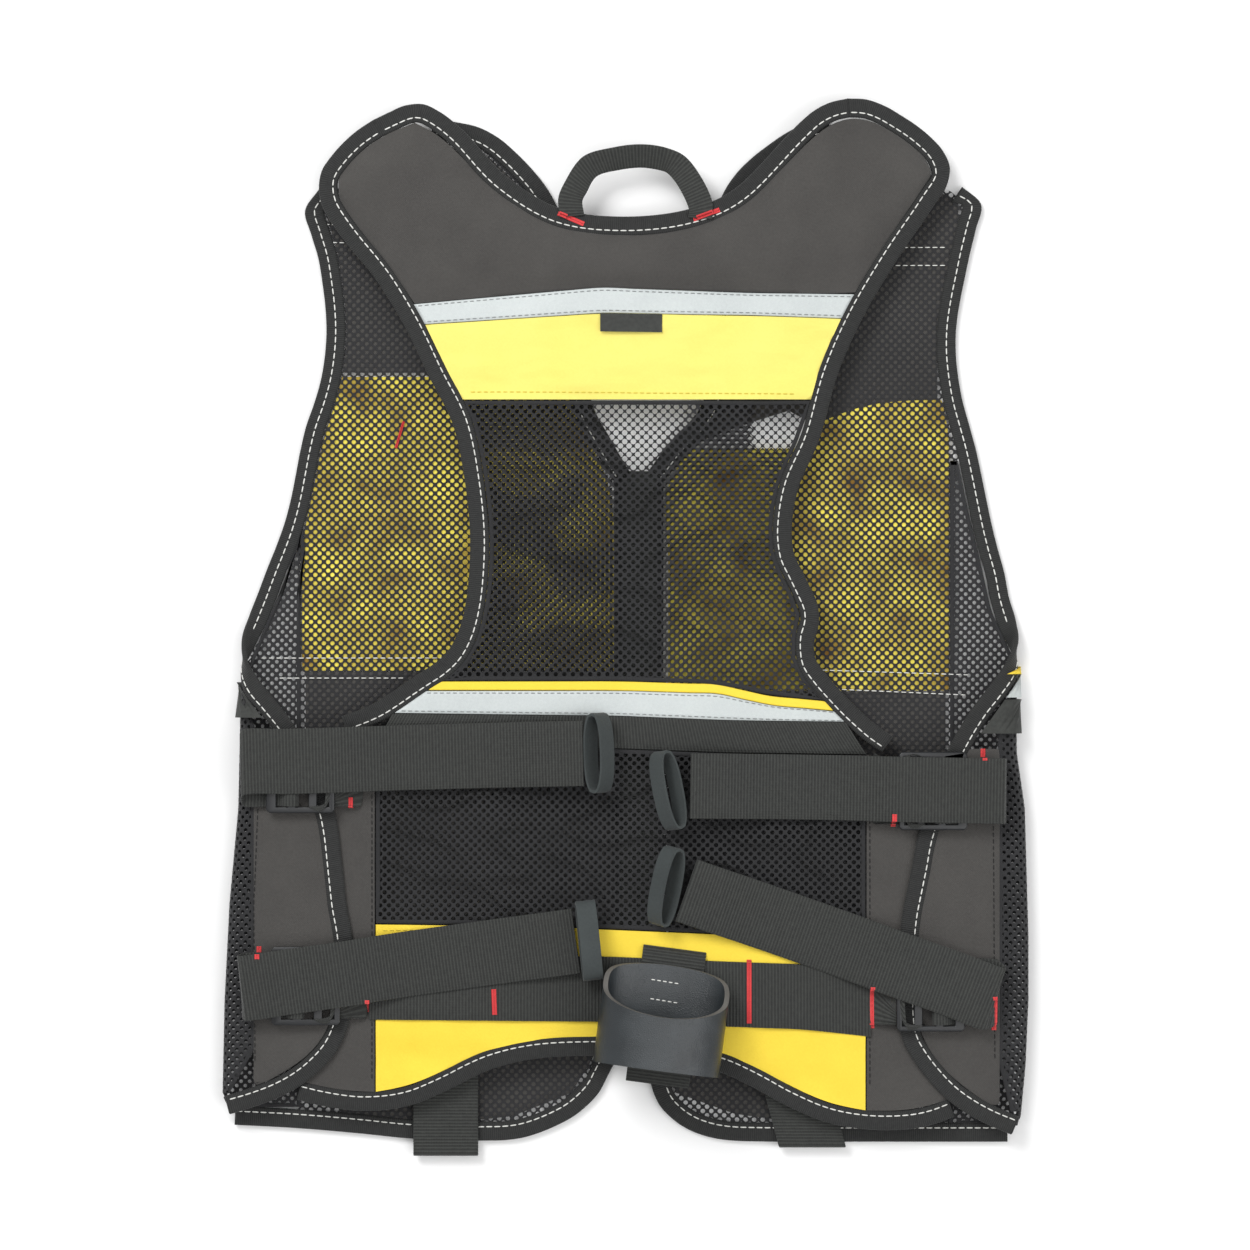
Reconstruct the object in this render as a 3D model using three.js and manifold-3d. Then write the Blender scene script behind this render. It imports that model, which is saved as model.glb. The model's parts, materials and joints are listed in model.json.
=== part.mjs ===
import * as THREE from "three";
import { mergeVertices } from "three/addons/utils/BufferGeometryUtils.js";
import manifoldModule from "manifold-3d";

// Utility work vest, laid flat with its back upwards: head end at +Y, floor at z = 0.
// All lengths are millimetres.

// Driving sizes of the whole vest
const VEST_WIDTH = 498;
const VEST_LENGTH = 652;

// Cloth, tape and webbing as they are bought
const CLOTH = 1.5;
const MESH = 1.4;
const PAD = 7;
const TAPE_WIDTH = 10;
const TAPE_THICK = 2.6;
const WEBBING = 1.3;
const BELT_WIDTH = 40;
const WAIST_TAPE_WIDTH = 20;
const HANDLE_WIDTH = 15;
const LEATHER = 3;

// Clearances between sewn pieces
const CLEAR = 0.4;
const SEAM_GAP = 0.8;
const TRIM_LIFT = 3;

// Room for the wearer between front and back
const CAVITY_SIDE = 8;
const CAVITY_MIDDLE = 14;

// Trim sizes
const PIPING_WIDTH = 5;
const LABEL_WIDTH = 38;
const LABEL_HEIGHT = 11;

// Ladder buckles: frame, the chunky outer bar and the two crossbars
const BUCKLE_LENGTH = 42;
const BUCKLE_SIDE_ROOM = 0.5;
const BUCKLE_THICK = 2.6;
const BUCKLE_BAR = 3.5;
const BUCKLE_OUTER_BAR = 6;
const BUCKLE_CROSSBAR = 5;
const INNER_SLOT = 7.5;
const MIDDLE_SLOT = 8;
const TACK_REACH = 15;
const TACK_SLOPE = 6;
const STRAP_BEND = 0.65;

// Elastic keeper loops at the strap ends
const KEEPER_LENGTH = 49;
const KEEPER_BAND = 12;
const KEEPER_WALL = 1.5;
const KEEPER_DEPTH = 15;

// Leather tool loop and its hanger
const TOOL_LOOP_WIDTH = 78;
const TOOL_LOOP_DEPTH = 46;
const TOOL_LOOP_BACK = 64;
const TOOL_LOOP_FRONT = 32;
const HANGER_WIDTH = 39;
const HANGER_LENGTH = 83;

// Centre closure
const ZIP_WIDTH = 12;

const COLOURS = {
  oxford: [0x4b4846, 0.85],
  mesh: [0x3a3b3c, 0.9],
  tape: [0x28292a, 0.9],
  webbing: [0x373937, 0.8],
  yellow: [0xfff078, 0.75],
  reflective: [0xcdd5d5, 0.45],
  leather: [0x555c61, 0.4],
  plastic: [0x202224, 0.45],
  elastic: [0x4e5557, 0.85],
};

const { lerp, degToRad } = THREE.MathUtils;
const plan = (x, y) => new THREE.Vector2(x, y);
const UP = new THREE.Vector3(0, 0, 1);
const manifold = await manifoldModule();
manifold.setup();
const vest = new THREE.Group();
vest.name = "utility_work_vest";

function add(name, finish, geometry) {
  const [color, roughness] = COLOURS[finish];
  const mesh = new THREE.Mesh(geometry, new THREE.MeshStandardMaterial({ color, roughness }));
  mesh.name = name;
  vest.add(mesh);
}

// Tables: rows with named columns, whose x and y are shares of the vest's width and length
function table(columns, rows) {
  const names = columns.split(" ");
  return rows.map((row) => Object.fromEntries(names.map((name, index) => [name, row[index]])));
}

const spot = (row) => plan(row.x * VEST_WIDTH, row.y * VEST_LENGTH);

// Smooth line through the places of a table, or through plan points
function smooth(points) {
  const knots = points.map((point) => new THREE.Vector3(point.x, point.y, 0));
  return new THREE.CatmullRomCurve3(knots, false, "centripetal");
}

const outline = (rows) => smooth(rows.map(spot));

// Points along a smooth line between two shares of its length, moved sideways to its left
function run(curve, from, to, pieces, aside = 0) {
  const points = [];
  for (let step = 0; step <= pieces; step += 1) {
    const share = lerp(from, to, step / pieces);
    const point = curve.getPointAt(share);
    const along = curve.getTangentAt(share);
    points.push(plan(point.x - along.y * aside, point.y + along.x * aside));
  }
  return points;
}

// Grid between two lines that have the same number of points
function ladder(lineA, lineB, rungs = 1) {
  const steps = Array.from({ length: rungs + 1 }, (_, step) => step / rungs);
  return lineA.map((point, index) => steps.map((share) => point.clone().lerp(lineB[index], share)));
}

const tapeGrid = (curve, from, to, pieces, hand) =>
  ladder(run(curve, from, to, pieces), run(curve, from, to, pieces, hand * TAPE_WIDTH));

// Places where a line crosses a level of one axis, given on the other axis
function crossings(line, axis, value) {
  const other = axis === "x" ? "y" : "x";
  const found = [];
  for (let index = 1; index < line.length; index += 1) {
    const a = line[index - 1];
    const b = line[index];
    if ((a[axis] - value) * (b[axis] - value) <= 0 && a[axis] !== b[axis]) {
      found.push(lerp(a[other], b[other], (value - a[axis]) / (b[axis] - a[axis])));
    }
  }
  return found;
}

// A line read as a function of one axis, level beyond its ends
function reading(line, axis) {
  const other = axis === "x" ? "y" : "x";
  const first = line[0];
  const last = line[line.length - 1];
  return (value) => {
    const found = crossings(line, axis, value);
    if (found.length > 0) return found[0];
    return Math.abs(value - first[axis]) < Math.abs(value - last[axis]) ? first[other] : last[other];
  };
}

const seam = (rows) => reading(rows.map(spot), "x");
const side = (line) => reading(line, "y");
const level = (value) => () => value;
const shifted = (line, distance) => (value) => line(value) + distance;
const below = (line, distance = SEAM_GAP) => shifted(line, -distance);

// Grid between a top and a bottom seam and a left and a right side
function patch(top, bottom, left, right, columns, rows) {
  const corner = (theSeam, theSide) => {
    let y = theSeam(0);
    for (let tries = 0; tries < 12; tries += 1) y = theSeam(theSide(y));
    return plan(theSide(y), y);
  };
  const [a, b] = [corner(top, left), corner(top, right)];
  const [c, d] = [corner(bottom, left), corner(bottom, right)];
  const grid = [];
  for (let row = 0; row <= rows; row += 1) {
    const v = row / rows;
    const leftX = left(lerp(a.y, c.y, v));
    const rightX = right(lerp(b.y, d.y, v));
    const line = [];
    for (let column = 0; column <= columns; column += 1) {
      const u = column / columns;
      const topX = lerp(a.x, b.x, u);
      const bottomX = lerp(c.x, d.x, u);
      const bow = lerp(leftX, rightX, u) - lerp(lerp(a.x, c.x, v), lerp(b.x, d.x, v), u);
      line.push(plan(lerp(topX, bottomX, v) + bow, lerp(top(topX), bottom(bottomX), v)));
    }
    grid.push(line);
  }
  return grid;
}

// Closed body between two skins of equal rows and columns; a ring joins its last row to its first
function closedBody(skins, ring = false) {
  const rows = skins[0].length;
  const columns = skins[0][0].length;
  const end = columns - 1;
  const positions = skins.flat(2).flatMap((point) => [point.x, point.y, point.z]);
  const at = (skin, row, column) => (skin * rows + (row % rows)) * columns + column;
  const faces = [];
  const quad = (a, b, c, d) => faces.push(a, b, c, a, c, d);
  for (let row = 0; row < (ring ? rows : rows - 1); row += 1) {
    for (let column = 0; column < end; column += 1) {
      quad(at(0, row, column), at(0, row, column + 1), at(0, row + 1, column + 1), at(0, row + 1, column));
      quad(at(1, row, column), at(1, row + 1, column), at(1, row + 1, column + 1), at(1, row, column + 1));
    }
    quad(at(0, row, 0), at(0, row + 1, 0), at(1, row + 1, 0), at(1, row, 0));
    quad(at(0, row + 1, end), at(0, row, end), at(1, row, end), at(1, row + 1, end));
  }
  for (let column = 0; column < end && !ring; column += 1) {
    const last = rows - 1;
    quad(at(0, 0, column + 1), at(0, 0, column), at(1, 0, column), at(1, 0, column + 1));
    quad(at(0, last, column), at(0, last, column + 1), at(1, last, column + 1), at(1, last, column));
  }
  const geometry = new THREE.BufferGeometry();
  geometry.setAttribute("position", new THREE.Float32BufferAttribute(positions, 3));
  geometry.setIndex(enclosed(positions, faces) < 0 ? faces.reverse() : faces);
  return geometry;
}

// Six times the volume inside the faces, negative where they point inwards
function enclosed(positions, faces) {
  const corner = (index) => new THREE.Vector3().fromArray(positions, index * 3);
  let sum = 0;
  for (let index = 0; index < faces.length; index += 3) {
    const [a, b, c] = [0, 1, 2].map((step) => corner(faces[index + step]));
    sum += a.dot(b.cross(c));
  }
  return sum;
}

// Body without the holes that other bodies make in it
function cutOut(body, holes) {
  const solid = (geometry) => {
    const bare = new THREE.BufferGeometry().setAttribute("position", geometry.attributes.position);
    const joined = mergeVertices(bare.setIndex(geometry.index));
    const triVerts = new Uint32Array(joined.index.array);
    const vertProperties = new Float32Array(joined.attributes.position.array);
    return new manifold.Manifold(new manifold.Mesh({ numProp: 3, triVerts, vertProperties }));
  };
  const left = holes.reduce((rest, hole) => rest.subtract(solid(hole)), solid(body)).getMesh();
  const geometry = new THREE.BufferGeometry();
  geometry.setAttribute("position", new THREE.Float32BufferAttribute(left.vertProperties, 3));
  return geometry.setIndex([...left.triVerts]);
}

// A chart turns a place on cloth into a point in space and the direction out of the cloth.
// A wall covers a grid of places, between a lower and an upper distance from the chart.
function wall(chart, grid, lower, upper) {
  const skin = (distance) => grid.map((line, row) => line.map((place, column) => {
    const { point, out } = chart(place.x, place.y);
    const reach = distance(row / (grid.length - 1), column / (line.length - 1));
    return point.clone().addScaledVector(out, reach);
  }));
  return closedBody([skin(lower), skin(upper)]);
}

const sheet = (chart, grid, thickness, lift = 0) =>
  wall(chart, grid, level(lift - thickness / 2), level(lift + thickness / 2));

// Ribbon through stations: each has a middle point and a direction across
function ribbon(stations, width, thickness) {
  const skins = [[], []];
  stations.forEach(({ point, across }, index) => {
    const before = stations[Math.max(index - 1, 0)].point;
    const after = stations[Math.min(index + 1, stations.length - 1)].point;
    const out = after.clone().sub(before).cross(across).normalize();
    [-1, 1].forEach((face, skin) => {
      const middle = point.clone().addScaledVector(out, (face * thickness) / 2);
      skins[skin].push([-1, 1].map((edge) => middle.clone().addScaledVector(across, (edge * width) / 2)));
    });
  });
  return closedBody(skins);
}

// Heights above the floor: the front's mesh, then the back cloth, which crowns at the middle
const HALF_TAPE = TAPE_THICK / 2;
const FRONT_LEVEL = CLOTH + CLEAR + HALF_TAPE;
const BACK_SIDE = FRONT_LEVEL + TAPE_THICK + CAVITY_SIDE;
const BACK_RISE = CAVITY_MIDDLE - CAVITY_SIDE;
const backHeight = (x) => BACK_SIDE + BACK_RISE * Math.max(Math.cos((Math.PI * x) / VEST_WIDTH), 0);

// Folds of the loose mesh: middle, turn in degrees, and length and width as shares of the
// vest's width, and height as a share of the back's rise
const FOLDS = table("x y turn length width height", [
  [-0.12, 0.12, 12, 0.1, 0.016, 0.45],
  [-0.03, 0.09, -28, 0.09, 0.018, 0.5],
  [0.08, 0.12, 34, 0.09, 0.018, -0.4],
  [0.12, 0.06, -20, 0.1, 0.02, 0.45],
  [-0.08, 0.03, 24, 0.1, 0.02, -0.35],
  [0.02, 0.0, -8, 0.16, 0.022, 0.55],
  [0.1, -0.025, -14, 0.12, 0.016, -0.4],
  [-0.12, -0.2, -20, 0.1, 0.025, 0.25],
  [0.12, -0.22, 30, 0.1, 0.025, 0.25],
]);

function foldHeight(x, y) {
  return FOLDS.reduce((sum, fold) => {
    const away = plan(x, y).sub(spot(fold)).rotateAround(plan(0, 0), -degToRad(fold.turn));
    const far = Math.hypot(away.x / fold.length, away.y / fold.width) / VEST_WIDTH;
    return sum + fold.height * BACK_RISE * Math.exp(-far * far);
  }, 0);
}

const backChart = (x, y) => ({ point: new THREE.Vector3(x, y, backHeight(x)), out: UP });
const meshChart = (x, y) => {
  return { point: new THREE.Vector3(x, y, backHeight(x) + foldHeight(x, y)), out: UP };
};
const flatChart = (z) => (x, y) => ({ point: new THREE.Vector3(x, y, z), out: UP });

// Taped edge of the back, from one armpit round both shoulders to the other, and the hem
const BACK_EDGE = outline(table("x y", [
  [-0.35, -0.083],
  [-0.313, -0.072],
  [-0.263, -0.047],
  [-0.22, -0.023],
  [-0.2, 0.009],
  [-0.19, 0.078],
  [-0.197, 0.142],
  [-0.212, 0.195],
  [-0.241, 0.239],
  [-0.27, 0.285],
  [-0.307, 0.331],
  [-0.349, 0.371],
  [-0.374, 0.402],
  [-0.376, 0.428],
  [-0.358, 0.45],
  [-0.327, 0.472],
  [-0.294, 0.486],
  [-0.255, 0.495],
  [-0.212, 0.477],
  [-0.149, 0.427],
  [-0.082, 0.396],
  [-0.003, 0.388],
  [0.078, 0.395],
  [0.133, 0.413],
  [0.206, 0.469],
  [0.233, 0.488],
  [0.267, 0.499],
  [0.303, 0.498],
  [0.338, 0.485],
  [0.37, 0.468],
  [0.392, 0.45],
  [0.4, 0.428],
  [0.384, 0.406],
  [0.332, 0.347],
  [0.289, 0.291],
  [0.26, 0.24],
  [0.238, 0.18],
  [0.21, 0.129],
  [0.205, 0.076],
  [0.223, 0.045],
  [0.238, 0.015],
  [0.231, -0.023],
  [0.26, -0.055],
  [0.307, -0.09],
  [0.329, -0.102],
]));
const LEFT_SHOULDER = 0.352;
const RIGHT_SHOULDER = 0.622;
const HEM = outline(table("x y", [
  [-0.405, -0.443],
  [-0.37, -0.449],
  [-0.323, -0.453],
  [-0.268, -0.448],
  [-0.22, -0.433],
  [-0.172, -0.415],
  [-0.125, -0.405],
  [-0.073, -0.401],
  [0.043, -0.403],
  [0.113, -0.415],
  [0.152, -0.428],
  [0.2, -0.448],
  [0.251, -0.464],
  [0.311, -0.471],
  [0.37, -0.468],
  [0.405, -0.459],
]));

const splice = CLEAR / BACK_EDGE.getLength();
add("armhole_tape_left", "tape",
  sheet(backChart, tapeGrid(BACK_EDGE, 0, LEFT_SHOULDER - splice, 40, -1), TAPE_THICK));
add("neck_tape", "tape",
  sheet(backChart, tapeGrid(BACK_EDGE, LEFT_SHOULDER, RIGHT_SHOULDER, 32, -1), TAPE_THICK));
add("armhole_tape_right", "tape",
  sheet(backChart, tapeGrid(BACK_EDGE, RIGHT_SHOULDER + splice, 1, 42, -1), TAPE_THICK));
add("hem_tape", "tape", sheet(backChart, tapeGrid(HEM, 0, 1, 34, 1), TAPE_THICK));

// Cloth lies inside the tapes
const INSET = TAPE_WIDTH + SEAM_GAP;
const clothEdge = run(BACK_EDGE, 0, 1, 160, -INSET);
const firstHalf = Math.round(clothEdge.length * LEFT_SHOULDER);
const lastHalf = Math.round(clothEdge.length * RIGHT_SHOULDER);
const armLeft = side(clothEdge.slice(0, firstHalf - 16));
const armRight = side(clothEdge.slice(lastHalf + 16));
const hemInside = reading(run(HEM, 0, 1, 80, INSET), "x");

// Seams that run across the back
const YOKE_SEAM = seam(table("x y", [
  [-0.27, 0.307], [-0.032, 0.323], [0.15, 0.318], [0.29, 0.317],
]));
const STRIP_SEAM = seam(table("x y", [
  [-0.26, 0.288], [-0.032, 0.299], [0.156, 0.297], [0.27, 0.294],
]));
const BAND_SEAM = level(0.217 * VEST_LENGTH);
const WAIST_SEAM = seam(table("x y", [
  [-0.26, -0.048], [-0.007, -0.048], [0.113, -0.051], [0.18, -0.062], [0.28, -0.069],
]));
const WAIST_TAPE_SEAM = seam(table("x y", [
  [-0.33, -0.078], [-0.23, -0.079], [-0.007, -0.081], [0.126, -0.085], [0.31, -0.087],
]));
const LOWER_BAND_SEAM = seam(table("x y", [
  [-0.32, -0.277], [-0.1, -0.279], [0.1, -0.286], [0.31, -0.289],
]));

// Padded yoke: full in the middle, thin at its seams
function yokeGrid(columns, rows) {
  const ends = clothEdge.map((point) => point.x);
  const left = Math.min(...ends.slice(0, firstHalf)) + CLEAR;
  const right = Math.max(...ends.slice(lastHalf, lastHalf + 30)) - CLEAR;
  const bottoms = [];
  const tops = [];
  for (let column = 0; column <= columns; column += 1) {
    const x = lerp(left, right, (1 - Math.cos((Math.PI * column) / columns)) / 2);
    const found = crossings(clothEdge, "x", x).filter((y) => y > YOKE_SEAM(x));
    bottoms.push(plan(x, found.length > 1 ? Math.min(...found) : YOKE_SEAM(x)));
    tops.push(plan(x, Math.max(...found)));
  }
  return ladder(bottoms, tops, rows);
}
const PAD_EDGE = 0.35;
const padShare = (u, v) => (16 * u * (1 - u) * v * (1 - v)) ** PAD_EDGE;
add("back_yoke", "oxford",
  wall(backChart, yokeGrid(30, 4), level(-CLOTH / 2), (u, v) => CLOTH / 2 + (PAD - CLOTH) * padShare(u, v)));

// Bands and mesh of the upper back
const upperStrip = patch(below(YOKE_SEAM), STRIP_SEAM, armLeft, armRight, 14, 1);
const upperBand = patch(below(STRIP_SEAM), BAND_SEAM, armLeft, armRight, 14, 3);
const upperMesh =
  patch(below(BAND_SEAM), WAIST_SEAM, shifted(armLeft, CLEAR), shifted(armRight, -CLEAR), 13, 14);
add("upper_reflective_strip", "reflective", sheet(backChart, upperStrip, CLOTH));
add("upper_yellow_band", "yellow", sheet(backChart, upperBand, CLOTH));
add("back_mesh_upper", "mesh", sheet(meshChart, upperMesh, MESH));

// Waist: yellow piping, reflective strip and a narrow webbing below it
const pipingSeam = below(WAIST_SEAM, PIPING_WIDTH + SEAM_GAP);
const pipingGrid = patch(below(WAIST_SEAM), pipingSeam, armLeft, armRight, 14, 1);
const waistStrip = patch(below(pipingSeam), WAIST_TAPE_SEAM, armLeft, armRight, 14, 1);
add("waist_piping", "yellow", sheet(backChart, pipingGrid, CLOTH));
add("waist_reflective_strip", "reflective", sheet(backChart, waistStrip, CLOTH));

const SIDE_SEAM_LEFT = -0.31 * VEST_WIDTH;
const SIDE_SEAM_RIGHT = 0.298 * VEST_WIDTH;
const innerLeft = level(SIDE_SEAM_LEFT + SEAM_GAP);
const innerRight = level(SIDE_SEAM_RIGHT - SEAM_GAP);
const lowerMeshSeam = below(WAIST_TAPE_SEAM, WAIST_TAPE_WIDTH);
const waistLeft = (y) => Math.max(innerLeft(), armLeft(y));
const waistRight = (y) => Math.min(innerRight(), armRight(y));
const waistTape = patch(below(WAIST_TAPE_SEAM), lowerMeshSeam, waistLeft, waistRight, 14, 1);
const lowerMesh = patch(below(lowerMeshSeam), LOWER_BAND_SEAM, innerLeft, innerRight, 12, 7);
const lowerBand = patch(below(LOWER_BAND_SEAM), hemInside, innerLeft, innerRight, 16, 2);
add("waist_webbing", "webbing", sheet(backChart, waistTape, CLOTH));
add("back_mesh_lower", "mesh", sheet(meshChart, lowerMesh, MESH));
add("lower_yellow_band", "yellow", sheet(backChart, lowerBand, CLOTH));

// Side strips of the back, which run on beneath the wraps
const HIDDEN_EDGE = 0.4 * VEST_WIDTH;
const leftStripTop = seam(table("x y", [[-0.41, -0.125], [-0.35, -0.112], [-0.31, -0.1]]));
const rightStripTop = seam(table("x y", [[0.298, -0.118], [0.34, -0.134], [0.41, -0.14]]));
const leftStrip = patch(leftStripTop, hemInside, level(-HIDDEN_EDGE), level(SIDE_SEAM_LEFT), 3, 12);
const rightStrip = patch(rightStripTop, hemInside, level(SIDE_SEAM_RIGHT), level(HIDDEN_EDGE), 3, 12);
add("back_side_strip_left", "oxford", sheet(backChart, leftStrip, CLOTH));
add("back_side_strip_right", "oxford", sheet(backChart, rightStrip, CLOTH));

// Small woven tab at the middle of the upper band, bare
const LABEL_MIDDLE = 0.007 * VEST_WIDTH;
const labelSides = [-1, 1].map((hand) => level(LABEL_MIDDLE + (hand * LABEL_WIDTH) / 2));
const labelBottom = below(STRIP_SEAM, SEAM_GAP + LABEL_HEIGHT);
const labelGrid = patch(below(STRIP_SEAM), labelBottom, ...labelSides, 2, 1);
add("label_tab", "webbing", sheet(backChart, labelGrid, CLOTH / 2, CLOTH + CLEAR));

// Lower belt, sewn on the band between the two side seams
const BELT_SEAM = seam(table("x y", [
  [-0.33, -0.3065], [-0.02, -0.308], [0.1, -0.312], [0.22, -0.3155], [0.33, -0.325],
]));
const BELT_LIFT = HALF_TAPE + CLEAR + WEBBING / 2;
const beltEnds = [level(-0.316 * VEST_WIDTH), level(0.302 * VEST_WIDTH)];
const beltGrid = patch(BELT_SEAM, below(BELT_SEAM, BELT_WIDTH), ...beltEnds, 20, 1);
add("lower_belt", "webbing", sheet(backChart, beltGrid, WEBBING, BELT_LIFT));

// The front is a flat lower layer that rolls up round each side and laps onto the back.
// Its chart's first axis is the girth from the outermost line, negative on the lower layer.
const wrapHeight = (x) => backHeight(x) + TAPE_THICK + CLEAR;
const ROLL = (wrapHeight(VEST_WIDTH / 2) - FRONT_LEVEL) / 2;
const QUARTER = (Math.PI / 2) * ROLL;

function girth(inward, layer) {
  if (inward >= ROLL) return layer * (inward - ROLL + QUARTER);
  return layer * ROLL * Math.acos(1 - inward / ROLL);
}

function rollChart(hand, outer) {
  return (along, y) => {
    const layer = Math.sign(along);
    const distance = Math.abs(along);
    const middle = hand * (outer(y) - ROLL);
    if (distance >= QUARTER) {
      const x = middle - hand * (distance - QUARTER);
      const z = layer < 0 ? FRONT_LEVEL : wrapHeight(x);
      return { point: new THREE.Vector3(x, y, z), out: new THREE.Vector3(0, 0, layer) };
    }
    const turn = along / ROLL;
    const out = new THREE.Vector3(hand * Math.cos(turn), 0, Math.sin(turn));
    const extra = (wrapHeight(middle) - FRONT_LEVEL - 2 * ROLL) * Math.max(Math.sin(turn), 0);
    const point = new THREE.Vector3(middle, y, FRONT_LEVEL + ROLL + extra).addScaledVector(out, ROLL);
    return { point, out };
  };
}

// Outermost line of each side, and the edges of each front: neck with centre, hem corner,
// armhole on the lower layer, and the wrap's edge on the upper layer
const FRONTS = [
  {
    name: "left",
    hand: -1,
    outer: [
      [0.472, 0.02], [0.475, -0.03], [0.479, -0.169], [0.49, -0.26], [0.496, -0.351], [0.4985, -0.44],
    ],
    neck: [
      [-0.235, 0.483], [-0.195, 0.478], [-0.167, 0.47], [-0.114, 0.433], [-0.085, 0.398],
      [-0.063, 0.313], [-0.044, 0.216], [-0.02, 0.18], [0.003, 0.15],
    ],
    hem: [
      [0.003, -0.396], [-0.019, -0.415], [-0.029, -0.433], [-0.058, -0.457], [-0.093, -0.472],
      [-0.133, -0.482], [-0.18, -0.484], [-0.266, -0.482], [-0.332, -0.477], [-0.41, -0.472],
      [-0.485, -0.469],
    ],
    arm: [
      [-0.38, 0.417], [-0.396, 0.402], [-0.38, 0.352], [-0.37, 0.285], [-0.378, 0.233],
      [-0.397, 0.188], [-0.42, 0.106], [-0.45, 0.045], [-0.464, 0.016],
    ],
    lap: [
      [-0.469, -0.03], [-0.446, -0.057], [-0.426, -0.075], [-0.407, -0.095], [-0.378, -0.138],
      [-0.359, -0.178], [-0.352, -0.218], [-0.347, -0.254], [-0.338, -0.296], [-0.336, -0.335],
      [-0.342, -0.367], [-0.355, -0.393], [-0.379, -0.415], [-0.415, -0.435], [-0.459, -0.449],
      [-0.488, -0.456],
    ],
    wrapSeam: 0.456,
    wrapTop: -0.105,
    wrapEnd: -0.43,
    gussetTop: 0.12,
    gussetEnd: -0.438,
    hemCorner: -0.463,
    chestEnd: -0.039,
    pocketEnd: -0.44,
    trims: [["webbing", "webbing", -0.05, -0.083]],
    shoulderEnd: [[-0.45, 0.244], [0, 0.244]],
    chestTop: [[-0.45, 0.24], [0, 0.24]],
  },
  {
    name: "right",
    hand: 1,
    outer: [
      [0.486, 0.02], [0.484, -0.06], [0.484, -0.116], [0.494, -0.169], [0.4985, -0.29],
      [0.4985, -0.351], [0.495, -0.412], [0.486, -0.485],
    ],
    neck: [
      [0.25, 0.485], [0.22, 0.478], [0.19, 0.465], [0.14, 0.433], [0.115, 0.398],
      [0.104, 0.313], [0.097, 0.214], [0.06, 0.18], [0.03, 0.15],
    ],
    hem: [
      [0.03, -0.405], [0.033, -0.43], [0.044, -0.451], [0.073, -0.471], [0.113, -0.482],
      [0.184, -0.485], [0.28, -0.485], [0.39, -0.485], [0.474, -0.485],
    ],
    arm: [
      [0.418, 0.419], [0.439, 0.408], [0.428, 0.363], [0.409, 0.282], [0.414, 0.229],
      [0.434, 0.17], [0.456, 0.091], [0.472, 0.045], [0.478, 0.02],
    ],
    lap: [
      [0.479, -0.022], [0.46, -0.045], [0.426, -0.079], [0.4, -0.113], [0.38, -0.15],
      [0.363, -0.194], [0.354, -0.23], [0.343, -0.272], [0.338, -0.33], [0.343, -0.385],
      [0.363, -0.412], [0.398, -0.442], [0.438, -0.462], [0.476, -0.475],
    ],
    wrapSeam: 0.459,
    wrapTop: -0.115,
    wrapEnd: -0.446,
    gussetTop: 0.16,
    gussetEnd: -0.455,
    hemCorner: -0.466,
    chestEnd: -0.058,
    pocketEnd: -0.44,
    trims: [
      ["reflective", "reflective", -0.042, -0.064],
      ["webbing", "webbing", -0.066, -0.098],
    ],
    shoulderEnd: [[0.09, 0.178], [0.15, 0.178], [0.156, 0.222], [0.45, 0.222]],
    chestTop: [[0.03, 0.174], [0.226, 0.174], [0.232, 0.218], [0.45, 0.218]],
  },
];
const GUSSET_SEAM = 0.402;
const FRONT_TOP_SEAM = [[-0.4, 0.37], [-0.29, 0.455], [0.3, 0.455], [0.42, 0.38]];
const POCKET_EDGE = 0.355;
const rowsOf = (list) => table("x y", list);
const zipMiddle = (FRONTS[0].neck[8][0] + FRONTS[1].neck[8][0]) * VEST_WIDTH * 0.5;
const zipEdge = ZIP_WIDTH / 2 + SEAM_GAP;

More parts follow.
